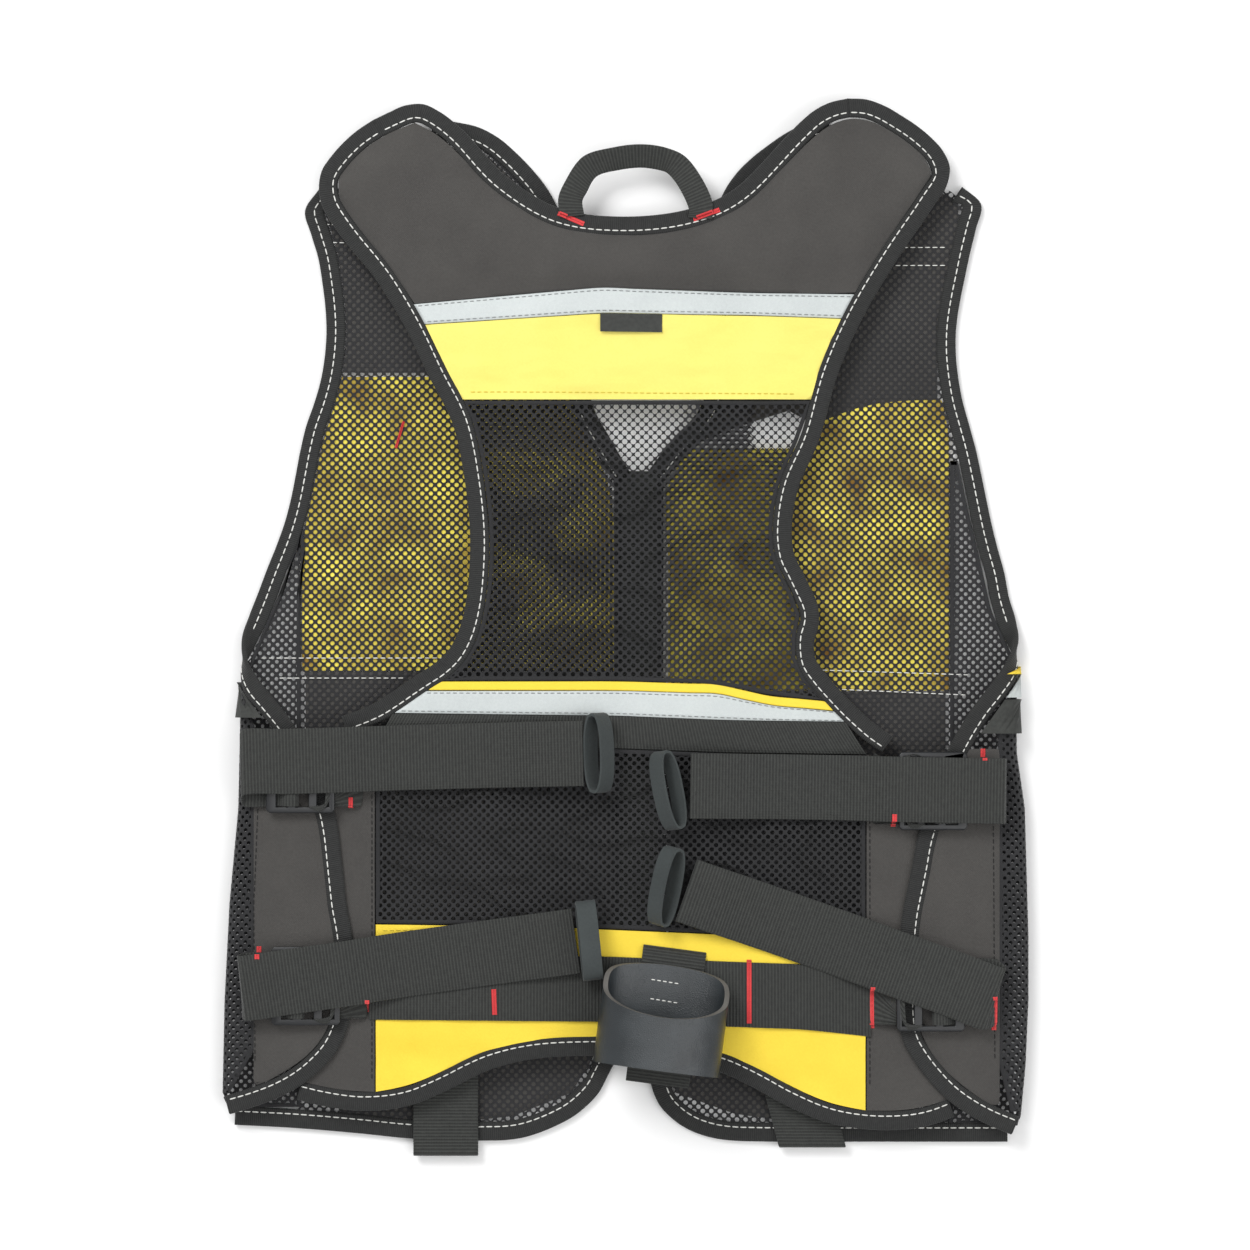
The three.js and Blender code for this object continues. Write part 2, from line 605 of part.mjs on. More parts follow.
for (const front of FRONTS) {
  const { name, hand } = front;
  const outerLine = front.outer.map(([x, y]) => plan(x * VEST_WIDTH, y * VEST_LENGTH));
  const outer = side(outerLine);
  const chart = rollChart(hand, outer);
  const place = (layer) => (row) => {
    const point = spot(row);
    return plan(girth(Math.max(outer(point.y) - Math.abs(point.x), 0), layer), point.y);
  };

  // Tape from the shoulder down the armhole, over the side and along the wrap
  const armEdge = smooth([...rowsOf(front.arm).map(place(-1)), ...rowsOf(front.lap).map(place(1))]);
  add(`front_armhole_tape_${name}`, "tape", sheet(chart, tapeGrid(armEdge, 0, 1, 42, -1), TAPE_THICK));
  const armInside = side(run(armEdge, 0, 1, 160, -INSET));

  // Tapes of the neck and of the rounded hem corner
  const flat = flatChart(FRONT_LEVEL);
  const neckEdge = outline(rowsOf(front.neck));
  const hemEdge = outline(rowsOf(front.hem));
  add(`front_neck_tape_${name}`, "tape", sheet(flat, tapeGrid(neckEdge, 0, 1, 20, hand), TAPE_THICK));
  add(`front_hem_tape_${name}`, "tape", sheet(flat, tapeGrid(hemEdge, 0, 1, 24, hand), TAPE_THICK));

  // Lining mesh of the front, flat between its tapes and the gusset's seam
  const gussetSeam = GUSSET_SEAM * VEST_WIDTH;
  const looseInside = side(run(armEdge, 0, 1, 160, -INSET - SEAM_GAP));
  const outerSide = (y) => {
    const armX = outer(y) - ROLL + QUARTER + looseInside(y);
    return hand * Math.min(armX, gussetSeam);
  };
  const neckEnd = neckEdge.getPointAt(1);
  const neckFoot = neckEnd.y - 3 * TAPE_WIDTH;
  const neckInside = side(run(neckEdge, 0, 1, 60, hand * (INSET + SEAM_GAP)));
  const hemLine = run(hemEdge, 0, 1, 60, hand * (INSET + SEAM_GAP));
  const hemCorner = front.hemCorner * VEST_LENGTH;
  const hemSide = side(hemLine);
  const hemTop = reading(hemLine, "x");
  const hemStart = hemLine[0].y;
  const innerSide = (y) => {
    if (y > neckFoot) return neckInside(y);
    return y > hemStart ? hemLine[0].x : hemSide(y);
  };
  const bottom = (x) => {
    return hand * x < hand * hemSide(hemCorner) ? hemCorner : Math.max(hemTop(x), hemCorner);
  };
  const across = (inner, outside) => (hand < 0 ? [outside, inner] : [inner, outside]);
  const lining = patch(seam(rowsOf(FRONT_TOP_SEAM)), bottom, ...across(innerSide, outerSide), 2, 26);
  add(`front_mesh_${name}`, "mesh", sheet(flat, lining, MESH));

  // Outer cloth of the front, on the floor: shoulder, chest and pocket panels
  const floorChart = flatChart(CLOTH / 2);
  const panelOuter = (limit) => (y) => hand * Math.min(Math.abs(outerSide(y)), limit);
  const panelInner = (y) => hand * Math.max(hand * innerSide(y), hand * zipMiddle + zipEdge);
  const panelSides = (limit) => across(panelInner, panelOuter(limit));
  const wide = panelSides(gussetSeam);
  const chestEnd = level(front.chestEnd * VEST_LENGTH);
  const shoulder = patch(seam(rowsOf(FRONT_TOP_SEAM)), seam(rowsOf(front.shoulderEnd)), ...wide, 2, 8);
  const chest = patch(seam(rowsOf(front.chestTop)), chestEnd, ...wide, 3, 10);
  const pocketSides = panelSides(POCKET_EDGE * VEST_WIDTH);
  const pocketEnd = level(front.pocketEnd * VEST_LENGTH);
  const pocket = patch(below(chestEnd), pocketEnd, ...pocketSides, 1, 10);
  add(`front_shoulder_${name}`, "oxford", sheet(floorChart, shoulder, CLOTH));
  add(`front_chest_${name}`, "yellow", sheet(floorChart, chest, CLOTH));
  add(`front_pocket_${name}`, "oxford", sheet(floorChart, pocket, CLOTH));

  // Side gusset of single mesh that rolls round the side, and the oxford strip of the wrap
  const gussetStart = (y) => girth(outer(y) - gussetSeam - SEAM_GAP, -1);
  const wrapSeam = (y) => girth(outer(y) - front.wrapSeam * VEST_WIDTH, 1);
  const gussetSide = (y) => Math.min(looseInside(y), wrapSeam(y) - SEAM_GAP);
  const gussetRows = [front.gussetTop, front.gussetEnd].map((share) => level(share * VEST_LENGTH));
  const gusset = patch(...gussetRows, gussetStart, gussetSide, 8, 13);
  add(`side_gusset_${name}`, "mesh", sheet(chart, gusset, MESH));
  const wrapRows = [front.wrapTop, front.wrapEnd].map((share) => level(share * VEST_LENGTH));
  const wrap = patch(...wrapRows, wrapSeam, looseInside, 2, 14);
  add(`wrap_strip_${name}`, "oxford", sheet(chart, wrap, CLOTH));

  // Ends of the front's trims that come round the side
  for (const trim of table("name finish top bottom", front.trims)) {
    const trimRows = [trim.top, trim.bottom].map((share) => level(share * VEST_LENGTH));
    const trimGrid = patch(...trimRows, level(-QUARTER), looseInside, 8, 1);
    add(`side_${trim.name}_${name}`, trim.finish, sheet(chart, trimGrid, MESH / 2, MESH + TRIM_LIFT));
  }
}

// Centre closure of the two fronts
const zipRows = [level(FRONTS[0].neck[8][1] * VEST_LENGTH), level(FRONTS[0].hem[0][1] * VEST_LENGTH)];
const zipSides = [-1, 1].map((hand) => level(zipMiddle + (hand * ZIP_WIDTH) / 2));
add("front_zip", "webbing", sheet(flatChart(CLOTH / 2), patch(...zipRows, ...zipSides, 1, 1), CLOTH));

// Strap ends: place of the buckle, of the outer turn and of the loose end, the loop's tilt
// and turn, and the rise of the loose end, whose unit is the loop's depth
const STRAPS = table("name hand buckleX buckleY turnX turnY endX endY tilt spin rise", [
  ["upper_left", -1, -0.4, -0.1355, -0.4725, -0.125, -0.053, -0.116, 50, 0, 0.66],
  ["lower_left", -1, -0.3935, -0.335, -0.4725, -0.337, -0.0616, -0.2925, 6, -2, 0.3],
  ["upper_right", 1, 0.3785, -0.1517, 0.4675, -0.1517, 0.0803, -0.1465, 50, 12, 0.66],
  ["lower_right", 1, 0.3754, -0.341, 0.4563, -0.3472, 0.0753, -0.2445, 48, 8, 0.66],
]);
const STRAP_REST = BELT_LIFT + WEBBING + CLEAR;

// Distances outwards from the middle of a buckle
const halfBuckle = BUCKLE_LENGTH / 2;
const crossbarA = -halfBuckle + BUCKLE_BAR + INNER_SLOT;
const crossbarB = crossbarA + BUCKLE_CROSSBAR + MIDDLE_SLOT;
const halfWeb = WEBBING / 2;
const hug = CLEAR + halfWeb;

function buckleHeights(x) {
  const deck = wrapHeight(x) + HALF_TAPE + CLEAR;
  const low = deck + halfWeb;
  const back = low + WEBBING + CLEAR;
  const frame = back + hug + BUCKLE_THICK / 2;
  const over = frame + BUCKLE_THICK / 2 + hug;
  return { low, back, frame, over, top: over + WEBBING + CLEAR };
}

function buckleGeometry() {
  const half = BELT_WIDTH / 2 + BUCKLE_SIDE_ROOM;
  const wide = half + BUCKLE_BAR;
  const corner = BUCKLE_BAR / 2;
  const outside = [
    [halfBuckle, corner - wide],
    [halfBuckle, wide - corner],
    [halfBuckle - corner, wide],
    [corner - halfBuckle, wide],
    [-halfBuckle, wide - corner],
    [-halfBuckle, corner - wide],
    [corner - halfBuckle, -wide],
    [halfBuckle - corner, -wide],
  ];
  const slots = [
    [-halfBuckle + BUCKLE_BAR, crossbarA],
    [crossbarA + BUCKLE_CROSSBAR, crossbarB],
    [crossbarB + BUCKLE_CROSSBAR, halfBuckle - BUCKLE_OUTER_BAR],
  ];
  const shape = new THREE.Shape(outside.map(([x, y]) => plan(x, y)));
  const plate = new THREE.ExtrudeGeometry(shape, { depth: BUCKLE_THICK, bevelEnabled: false });
  const holes = slots.map(([from, to]) =>
    new THREE.BoxGeometry(to - from, 2 * half, 2 * BUCKLE_THICK).translate((from + to) / 2, 0, 0));
  return cutOut(plate.translate(0, 0, -BUCKLE_THICK / 2), holes);
}

// Elastic loop round an axis that runs along +X and is tilted up
function keeperGeometry() {
  const sides = 18;
  const skins = [0, 1].map((skin) => Array.from({ length: sides }, (_, step) => {
    const turn = (2 * Math.PI * step) / sides;
    const long = KEEPER_LENGTH / 2 - skin * KEEPER_WALL;
    const deep = KEEPER_DEPTH / 2 - skin * KEEPER_WALL;
    const y = long * Math.sign(Math.cos(turn)) * Math.abs(Math.cos(turn)) ** 0.8;
    const z = deep * Math.sign(Math.sin(turn)) * Math.abs(Math.sin(turn)) ** 0.8;
    return [-1, 1].map((edge) => new THREE.Vector3((edge * KEEPER_BAND) / 2, y, z));
  }));
  return closedBody(skins, true);
}

for (const strap of STRAPS) {
  const { name, hand } = strap;
  const middle = plan(strap.buckleX * VEST_WIDTH, strap.buckleY * VEST_LENGTH);
  const tackX = Math.abs(middle.x) - halfBuckle - TACK_REACH;
  const heights = buckleHeights(tackX + TACK_SLOPE);
  const step = (outward, z) => ({
    point: new THREE.Vector3(middle.x + hand * outward, middle.y, z),
    across: new THREE.Vector3(0, 1, 0),
  });

  // The back's short tab, hooked round the first crossbar
  const hookA = crossbarA + BUCKLE_CROSSBAR + hug;
  const tackZ = backHeight(tackX) + BELT_LIFT;
  add(`buckle_tab_${name}`, "webbing", ribbon([
    step(-halfBuckle - TACK_REACH, tackZ),
    step(-halfBuckle - TACK_REACH + TACK_SLOPE, heights.low),
    step(hookA - STRAP_BEND, heights.low),
    step(hookA, heights.low + STRAP_BEND),
    step(hookA, heights.over - STRAP_BEND),
    step(hookA - STRAP_BEND, heights.over),
    step(crossbarA - BUCKLE_CROSSBAR, heights.over),
  ], BELT_WIDTH, WEBBING));

  const buckle = buckleGeometry();
  if (hand < 0) buckle.rotateZ(Math.PI);
  add(`buckle_${name}`, "plastic", buckle.translate(middle.x, middle.y, heights.frame));

  // The wrap's strap, hooked round the second crossbar, turned at the side and laid inwards
  const hookB = crossbarB - hug;
  const seamX = FRONTS[hand < 0 ? 0 : 1].wrapSeam * VEST_WIDTH - Math.abs(middle.x);
  const turn = plan(strap.turnX * VEST_WIDTH, strap.turnY * VEST_LENGTH);
  const end = plan(strap.endX * VEST_WIDTH, strap.endY * VEST_LENGTH);
  const turnReach = Math.abs(turn.x) - Math.abs(middle.x);
  const outerBar = halfBuckle - BUCKLE_OUTER_BAR;
  const stations = [
    step(seamX, heights.low),
    step(hookB + STRAP_BEND, heights.low),
    step(hookB, heights.low + STRAP_BEND),
    step(hookB, heights.over - STRAP_BEND),
    step(hookB + STRAP_BEND, heights.over),
    step(crossbarB + BUCKLE_CROSSBAR + STRAP_BEND, heights.over),
    step(outerBar - STRAP_BEND, heights.back),
    step(turnReach - hug, heights.back),
  ];
  const along = end.clone().sub(turn);
  const length = along.length();
  const lay = new THREE.Vector3(along.x, along.y, 0).normalize();
  const slant = new THREE.Vector3(0, 0, hand).cross(lay).negate();
  const turnAcross = new THREE.Vector3(0, 1, 0).add(slant).normalize();
  const turnHeight = (heights.top + heights.back) / 2;
  const bow = new THREE.Vector3(turn.x, lerp(middle.y, turn.y, 0.5), turnHeight);
  stations.push({ point: bow, across: turnAcross });
  const start = new THREE.Vector3(turn.x, turn.y, 0);
  const rise = strap.rise * KEEPER_DEPTH;
  const flatEnd = turnReach + halfBuckle + hug;
  const descent = flatEnd + BELT_WIDTH;
  for (const reach of [hug, flatEnd * 0.5, flatEnd, lerp(flatEnd, descent, 0.5), descent,
    lerp(descent, length, 0.2), lerp(descent, length, 0.4), lerp(descent, length, 0.6),
    lerp(descent, length, 0.8), length]) {
    const point = start.clone().addScaledVector(lay, reach);
    const rest = backHeight(point.x) + STRAP_REST;
    const fall = THREE.MathUtils.smoothstep(reach, flatEnd, descent);
    const lift = rise * THREE.MathUtils.smoothstep(reach, length - 1.5 * BELT_WIDTH, length);
    point.z = lerp(heights.top, rest, fall) + lift;
    stations.push({ point, across: slant });
  }
  add(`strap_${name}`, "webbing", ribbon(stations, BELT_WIDTH, WEBBING));

  // Keeper loop at the loose end: its near edge meets the strap's end
  const last = stations[stations.length - 1].point;
  const tilt = degToRad(strap.tilt);
  const swing = (Math.sin(Math.abs(degToRad(strap.spin))) * BELT_WIDTH) / 2;
  const heading = new THREE.Vector3(lay.x, lay.y, 0).applyAxisAngle(UP, degToRad(strap.spin));
  const depthAxis = heading.clone().multiplyScalar(Math.sin(tilt)).addScaledVector(UP, Math.cos(tilt));
  const bandAxis = heading.clone().multiplyScalar(-Math.cos(tilt)).addScaledVector(UP, Math.sin(tilt));
  const centre = last.clone()
    .addScaledVector(depthAxis, (KEEPER_DEPTH - KEEPER_WALL) / 2)
    .addScaledVector(bandAxis, -KEEPER_BAND / 2)
    .addScaledVector(heading, CLEAR + STRAP_BEND + swing);
  const frame = new THREE.Matrix4().makeBasis(bandAxis, depthAxis.clone().cross(bandAxis), depthAxis);
  add(`keeper_${name}`, "elastic", keeperGeometry().applyMatrix4(frame.setPosition(centre)));
}

// Carrying handle of narrow webbing, sewn on the neck tape at both ends
const HANDLE = table("x y lean", [
  [-0.066, 0.39, 0],
  [-0.068, 0.405, 0],
  [-0.061, 0.417, 0],
  [-0.044, 0.436, 15],
  [-0.011, 0.4435, 25],
  [0.02, 0.446, 25],
  [0.047, 0.443, 25],
  [0.062, 0.438, 15],
  [0.079, 0.422, 0],
  [0.093, 0.398, 0],
  [0.092, 0.388, 0],
]);
const handleHeight = backHeight(0) + HALF_TAPE + CLEAR + halfWeb;
const handlePoints = HANDLE.map((row) => new THREE.Vector3(row.x * VEST_WIDTH, row.y * VEST_LENGTH, handleHeight));
const handleStations = handlePoints.map((point, index) => {
  const before = handlePoints[Math.max(index - 1, 0)];
  const after = handlePoints[Math.min(index + 1, handlePoints.length - 1)];
  const alongHandle = after.clone().sub(before).normalize();
  const across = alongHandle.clone().cross(UP).applyAxisAngle(alongHandle, degToRad(HANDLE[index].lean));
  return { point, across };
});
add("carry_handle", "webbing", ribbon(handleStations, HANDLE_WIDTH, WEBBING));

// Leather tool loop: a ring of leather whose rims slope, on a webbing hanger over the belt
const LOOP_TURN = degToRad(-7.5);
const loopPlace = plan(0.045 * VEST_WIDTH, -0.364 * VEST_LENGTH);
const hangerPlace = plan(0.05 * VEST_WIDTH, -0.3645 * VEST_LENGTH);
const turned = (origin, x, y, z) => {
  const point = plan(x, y).rotateAround(plan(0, 0), LOOP_TURN).add(origin);
  return new THREE.Vector3(point.x, point.y, z);
};
const hangerTop = backHeight(0) + BELT_LIFT + WEBBING + CLEAR;
const hangerRows = table("share drop", [[0.5, 2], [0.46, 0.2], [0.42, 0], [0, 0], [-0.3, 0], [-0.5, 0.6]]);
add("loop_hanger", "webbing", ribbon(hangerRows.map((row) => ({
  point: turned(hangerPlace, 0, row.share * HANGER_LENGTH, hangerTop - row.drop * WEBBING),
  across: turned(plan(0, 0), 1, 0, 0),
})), HANGER_WIDTH, WEBBING));

function toolLoop() {
  const sides = 26;
  const lowest = hangerTop + halfWeb + CLEAR;
  const skins = [0, 1].map((skin) => Array.from({ length: sides }, (_, step) => {
    const angle = (2 * Math.PI * step) / sides - Math.PI / 2;
    const flatness = Math.sin(angle) < 0 ? 0.45 : 1;
    const rise = Math.sign(Math.sin(angle)) * Math.abs(Math.sin(angle)) ** flatness;
    const x = (TOOL_LOOP_WIDTH / 2 - skin * LEATHER) * Math.cos(angle);
    const z = lowest + TOOL_LOOP_DEPTH / 2 + (TOOL_LOOP_DEPTH / 2 - skin * LEATHER) * rise;
    const share = (rise + 1) / 2;
    const low = lerp(-TOOL_LOOP_BACK, -TOOL_LOOP_BACK - TOOL_LOOP_FRONT / 4 + TOOL_LOOP_FRONT / 2, share) / 2;
    const high = lerp(TOOL_LOOP_BACK / 2, low + TOOL_LOOP_FRONT, share);
    return [low, high].map((y) => turned(loopPlace, x, y, z));
  }));
  return closedBody(skins, true);
}
add("leather_tool_loop", "leather", toolLoop());

// Webbing loops that hang from the hem of each front
const HEM_LOOPS = table("name x turn", [["left", -0.223, 0], ["right", 0.232, 15]]);
for (const loop of HEM_LOOPS) {
  const turn = degToRad(loop.turn);
  const foot = plan(loop.x * VEST_WIDTH, -VEST_LENGTH / 2 + hug + Math.sin(turn) * (BELT_WIDTH / 2));
  const low = FRONT_LEVEL + HALF_TAPE + CLEAR + halfWeb;
  const high = low + 2 * (WEBBING + CLEAR);
  const rows = table("reach z", [
    [2 * TAPE_WIDTH, low], [hug, low], [0, (low + high) / 2], [hug, high], [1.45 * BELT_WIDTH, high],
  ]);
  add(`hem_loop_${loop.name}`, "webbing", ribbon(rows.map((row) => ({
    point: new THREE.Vector3(
      foot.x - row.reach * Math.sin(turn), foot.y + row.reach * Math.cos(turn), row.z),
    across: new THREE.Vector3(Math.cos(turn), Math.sin(turn), 0),
  })), BELT_WIDTH, WEBBING));
}

export default vest;
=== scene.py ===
"""Looks of the utility work vest: cloth, mesh, tapes, webbing, buckles, stitches, floor and light."""

import json
import math

import bmesh
import bpy
import numpy as np
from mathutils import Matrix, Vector, noise
from mathutils.bvhtree import BVHTree

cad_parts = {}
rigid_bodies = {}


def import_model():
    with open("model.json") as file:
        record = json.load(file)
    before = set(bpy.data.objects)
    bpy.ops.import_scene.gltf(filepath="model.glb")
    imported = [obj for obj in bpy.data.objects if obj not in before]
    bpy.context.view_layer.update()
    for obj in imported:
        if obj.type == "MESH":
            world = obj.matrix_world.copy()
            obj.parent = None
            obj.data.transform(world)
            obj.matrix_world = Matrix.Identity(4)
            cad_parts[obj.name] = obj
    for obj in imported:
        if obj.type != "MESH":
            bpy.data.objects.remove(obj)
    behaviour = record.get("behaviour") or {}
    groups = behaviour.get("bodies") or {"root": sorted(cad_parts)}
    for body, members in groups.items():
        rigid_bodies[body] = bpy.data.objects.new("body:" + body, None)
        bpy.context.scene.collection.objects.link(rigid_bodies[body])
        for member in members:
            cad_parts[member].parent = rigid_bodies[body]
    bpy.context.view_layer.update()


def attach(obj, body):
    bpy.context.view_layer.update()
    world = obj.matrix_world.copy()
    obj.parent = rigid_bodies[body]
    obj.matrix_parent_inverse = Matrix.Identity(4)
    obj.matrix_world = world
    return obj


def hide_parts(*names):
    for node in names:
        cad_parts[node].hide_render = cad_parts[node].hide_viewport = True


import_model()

MM = 0.001
WIDTH = 0.498
LENGTH = 0.652
PHOTO_SCALE = 0.00062
PHOTO_X = 625.5
PHOTO_Y = 629.5


def photo(x, y):
    """Plan place of a photo pixel, in metres."""
    return (x - PHOTO_X) * PHOTO_SCALE, (PHOTO_Y - y) * PHOTO_SCALE


# Materials
def effect(name, outputs, inputs):
    """A shader node group with its own input and output nodes."""
    tree = bpy.data.node_groups.new(name, "ShaderNodeTree")
    for label, kind in outputs.items():
        tree.interface.new_socket(label, in_out="OUTPUT", socket_type=kind)
    for label, (kind, value) in inputs.items():
        socket = tree.interface.new_socket(label, in_out="INPUT", socket_type=kind)
        socket.default_value = value
    return tree, tree.nodes.new("NodeGroupInput"), tree.nodes.new("NodeGroupOutput")


def join(tree, source, target):
    tree.links.new(source, target)


def maths(tree, operation, *values):
    node = tree.nodes.new("ShaderNodeMath")
    node.operation = operation
    for socket, value in zip(node.inputs, values):
        if isinstance(value, (int, float)):
            socket.default_value = value
        else:
            join(tree, value, socket)
    return node.outputs[0]


def blend_colour(tree, factor, dark, light):
    mix = tree.nodes.new("ShaderNodeMix")
    mix.data_type = "RGBA"
    join(tree, factor, mix.inputs["Factor"])
    for socket, value in ((mix.inputs["A"], dark), (mix.inputs["B"], light)):
        if isinstance(value, tuple):
            socket.default_value = value
        else:
            join(tree, value, socket)
    return mix.outputs["Result"]


def speckle(tree, vector, scale, detail=3.0):
    node = tree.nodes.new("ShaderNodeTexNoise")
    node.inputs["Scale"].default_value = scale
    node.inputs["Detail"].default_value = detail
    join(tree, vector, node.inputs["Vector"])
    return node.outputs["Fac"]


def surface_effect(name, pattern):
    """Tint and normal of a cloth; pattern makes the height and the shade from coordinates."""
    tree, entry, leave = effect(
        name,
        {"Shade": "NodeSocketFloat", "Normal": "NodeSocketVector"},
        {"Pitch": ("NodeSocketFloat", 0.001), "Depth": ("NodeSocketFloat", 0.0002)},
    )
    coordinates = tree.nodes.new("ShaderNodeTexCoord")
    height, shade = pattern(tree, coordinates, entry)
    bump = tree.nodes.new("ShaderNodeBump")
    join(tree, entry.outputs["Depth"], bump.inputs["Distance"])
    join(tree, height, bump.inputs["Height"])
    join(tree, shade, leave.inputs["Shade"])
    join(tree, bump.outputs["Normal"], leave.inputs["Normal"])
    return tree


def wave_of(tree, value, pitch):
    turn = maths(tree, "DIVIDE", maths(tree, "MULTIPLY", value, 2 * math.pi), pitch)
    return maths(tree, "MULTIPLY_ADD", maths(tree, "SINE", turn), 0.5, 0.5)


def weave_pattern(tree, coordinates, entry):
    parts = tree.nodes.new("ShaderNodeSeparateXYZ")
    join(tree, coordinates.outputs["Object"], parts.inputs[0])
    warp = wave_of(tree, parts.outputs["X"], entry.outputs["Pitch"])
    weft = wave_of(tree, parts.outputs["Y"], entry.outputs["Pitch"])
    threads = maths(tree, "ABSOLUTE", maths(tree, "SUBTRACT", warp, weft))
    uneven = speckle(tree, coordinates.outputs["Object"], 700)
    height = maths(tree, "MULTIPLY_ADD", uneven, 1.2, threads)
    broad = speckle(tree, coordinates.outputs["Object"], 28)
    fine = maths(tree, "MULTIPLY_ADD", threads, 0.35, maths(tree, "MULTIPLY", uneven, 0.35))
    return height, maths(tree, "MULTIPLY_ADD", broad, 0.45, fine)


def rib_pattern(tree, coordinates, entry):
    parts = tree.nodes.new("ShaderNodeSeparateXYZ")
    join(tree, coordinates.outputs["UV"], parts.inputs[0])
    uneven = speckle(tree, coordinates.outputs["Object"], 400)
    along = maths(tree, "MULTIPLY_ADD", uneven, 0.0004, parts.outputs["X"])
    ribs = wave_of(tree, along, entry.outputs["Pitch"])
    threads = wave_of(tree, parts.outputs["Y"], maths(tree, "MULTIPLY", entry.outputs["Pitch"], 0.8))
    height = maths(tree, "MULTIPLY_ADD", threads, 0.25, ribs)
    return height, maths(tree, "MULTIPLY_ADD", uneven, 0.5, maths(tree, "MULTIPLY", ribs, 0.5))


def grain_pattern(tree, coordinates, entry):
    cells = tree.nodes.new("ShaderNodeTexVoronoi")
    cells.feature = "DISTANCE_TO_EDGE"
    cells.inputs["Scale"].default_value = 900
    join(tree, coordinates.outputs["Object"], cells.inputs["Vector"])
    creases = speckle(tree, coordinates.outputs["Object"], 45, 6.0)
    height = maths(tree, "MULTIPLY_ADD", cells.outputs["Distance"], 0.6, creases)
    return height, creases


# Broad darker patches on the weave: painted shade of the mesh that lies over the yellow chest cloth.
def shade_patch_pattern(tree, coordinates, entry):
    height, _ = weave_pattern(tree, coordinates, entry)
    broad = speckle(tree, coordinates.outputs["Object"], 38, 5.0)
    stains = maths(tree, "MULTIPLY_ADD", broad, 2.2, -0.6)
    return height, maths(tree, "MAXIMUM", maths(tree, "MINIMUM", stains, 1.0), 0.0)


EFFECTS = {
    "weave": surface_effect("Plain weave", weave_pattern),
    "ribs": surface_effect("Crosswise ribs", rib_pattern),
    "stains": surface_effect("Weave with stains", shade_patch_pattern),
    "grain": surface_effect("Fine grain", grain_pattern),
}


def linear(colour):
    return tuple((c / 255) ** 2.2 for c in colour) + (1.0,)


def finish(name, dark, light, rough, kind, pitch=1.0, depth=0.1, metallic=0.0, sheen=0.0):
    """A material whose colour runs between two sRGB colours; pitch and depth are millimetres."""
    material = bpy.data.materials.new(name)
    material.use_nodes = True
    tree = material.node_tree
    shader = tree.nodes["Principled BSDF"]
    node = tree.nodes.new("ShaderNodeGroup")
    node.node_tree = EFFECTS[kind]
    node.inputs["Pitch"].default_value = pitch * MM
    node.inputs["Depth"].default_value = depth * MM
    colour = blend_colour(tree, node.outputs["Shade"], linear(dark), linear(light))
    join(tree, colour, shader.inputs["Base Color"])
    join(tree, node.outputs["Normal"], shader.inputs["Normal"])
    shader.inputs["Roughness"].default_value = rough
    shader.inputs["Metallic"].default_value = metallic
    shader.inputs["Sheen Weight"].default_value = sheen
    return material


FINISHES = {
    "oxford": finish("Dark grey oxford", (40, 38, 38), (84, 82, 79), 0.8, "weave", 1.1, 0.16, sheen=0.15),
    "mesh": finish("Dark mesh knit", (16, 17, 19), (52, 52, 54), 0.85, "weave", 0.7, 0.1, sheen=0.1),
    "tape": finish("Black grosgrain", (12, 12, 14), (52, 53, 52), 0.8, "ribs", 1.2, 0.22, sheen=0.1),
    "webbing": finish("Dark webbing", (14, 15, 15), (62, 64, 61), 0.75, "ribs", 2.0, 0.35, sheen=0.1),
    "yellow": finish("Fluorescent yellow cloth", (230, 214, 96), (246, 234, 126), 0.7, "weave", 0.8, 0.08),
    # Darker brownish copy of the yellow cloth with broad dark patches: painted shade under the front mesh.
    "shaded_yellow": finish(
        "Yellow cloth under mesh", (120, 86, 20), (255, 238, 96), 0.75, "stains", 0.8, 0.08,
    ),
    "lower_yellow": finish("Warm yellow cloth", (230, 196, 48), (255, 226, 74), 0.7, "weave", 0.8, 0.08),
    "reflective": finish("Silver tape", (162, 168, 170), (208, 214, 212), 0.42, "weave", 0.6, 0.05, 0.15),
    "leather": finish("Grey leather", (26, 28, 30), (68, 73, 76), 0.32, "grain", 1, 0.35),
    "leather_edge": finish("Cut leather edge", (70, 68, 66), (120, 118, 114), 0.8, "grain", 1, 0.1),
    "plastic": finish("Black plastic", (16, 17, 19), (38, 40, 43), 0.4, "grain", 1, 0.03),
    "elastic": finish("Grey-green elastic", (34, 39, 40), (74, 80, 80), 0.8, "weave", 0.5, 0.06, sheen=0.1),
    "thread": finish("White thread", (196, 196, 190), (240, 240, 236), 0.7, "grain", 1, 0.02),
    "grey_thread": finish("Grey thread", (110, 114, 114), (150, 154, 154), 0.7, "grain", 1, 0.02),
    "yellow_thread": finish("Yellow thread", (190, 168, 44), (222, 200, 70), 0.7, "grain", 1, 0.02),
    "dark_thread": finish("Dark thread", (14, 14, 15), (34, 34, 34), 0.7, "grain", 1, 0.02),
    "red_thread": finish("Red thread", (196, 36, 46), (240, 84, 84), 0.6, "grain", 1, 0.02),
}


# Meshes
def make(name, points, faces, material, uvs=None, smooth=True):
    mesh = bpy.data.meshes.new(name)
    mesh.from_pydata([tuple(p) for p in points], [], faces)
    if uvs is not None:
        layer = mesh.uv_layers.new(name="lay")
        for loop in mesh.loops:
            layer.data[loop.index].uv = uvs[loop.vertex_index]
    mesh.materials.append(FINISHES[material])
    if smooth:
        mesh.shade_smooth()
    obj = bpy.data.objects.new(name, mesh)
    bpy.context.scene.collection.objects.link(obj)
    return obj


def cad_mesh(node):
    """Joined copy of a CAD node's mesh, in the frame."""
    source = bpy.data.objects[node]
    shape = bmesh.new()
    shape.from_mesh(source.data)
    shape.transform(source.matrix_world)
    bmesh.ops.remove_doubles(shape, verts=shape.verts, dist=0.002 * MM)
    return shape


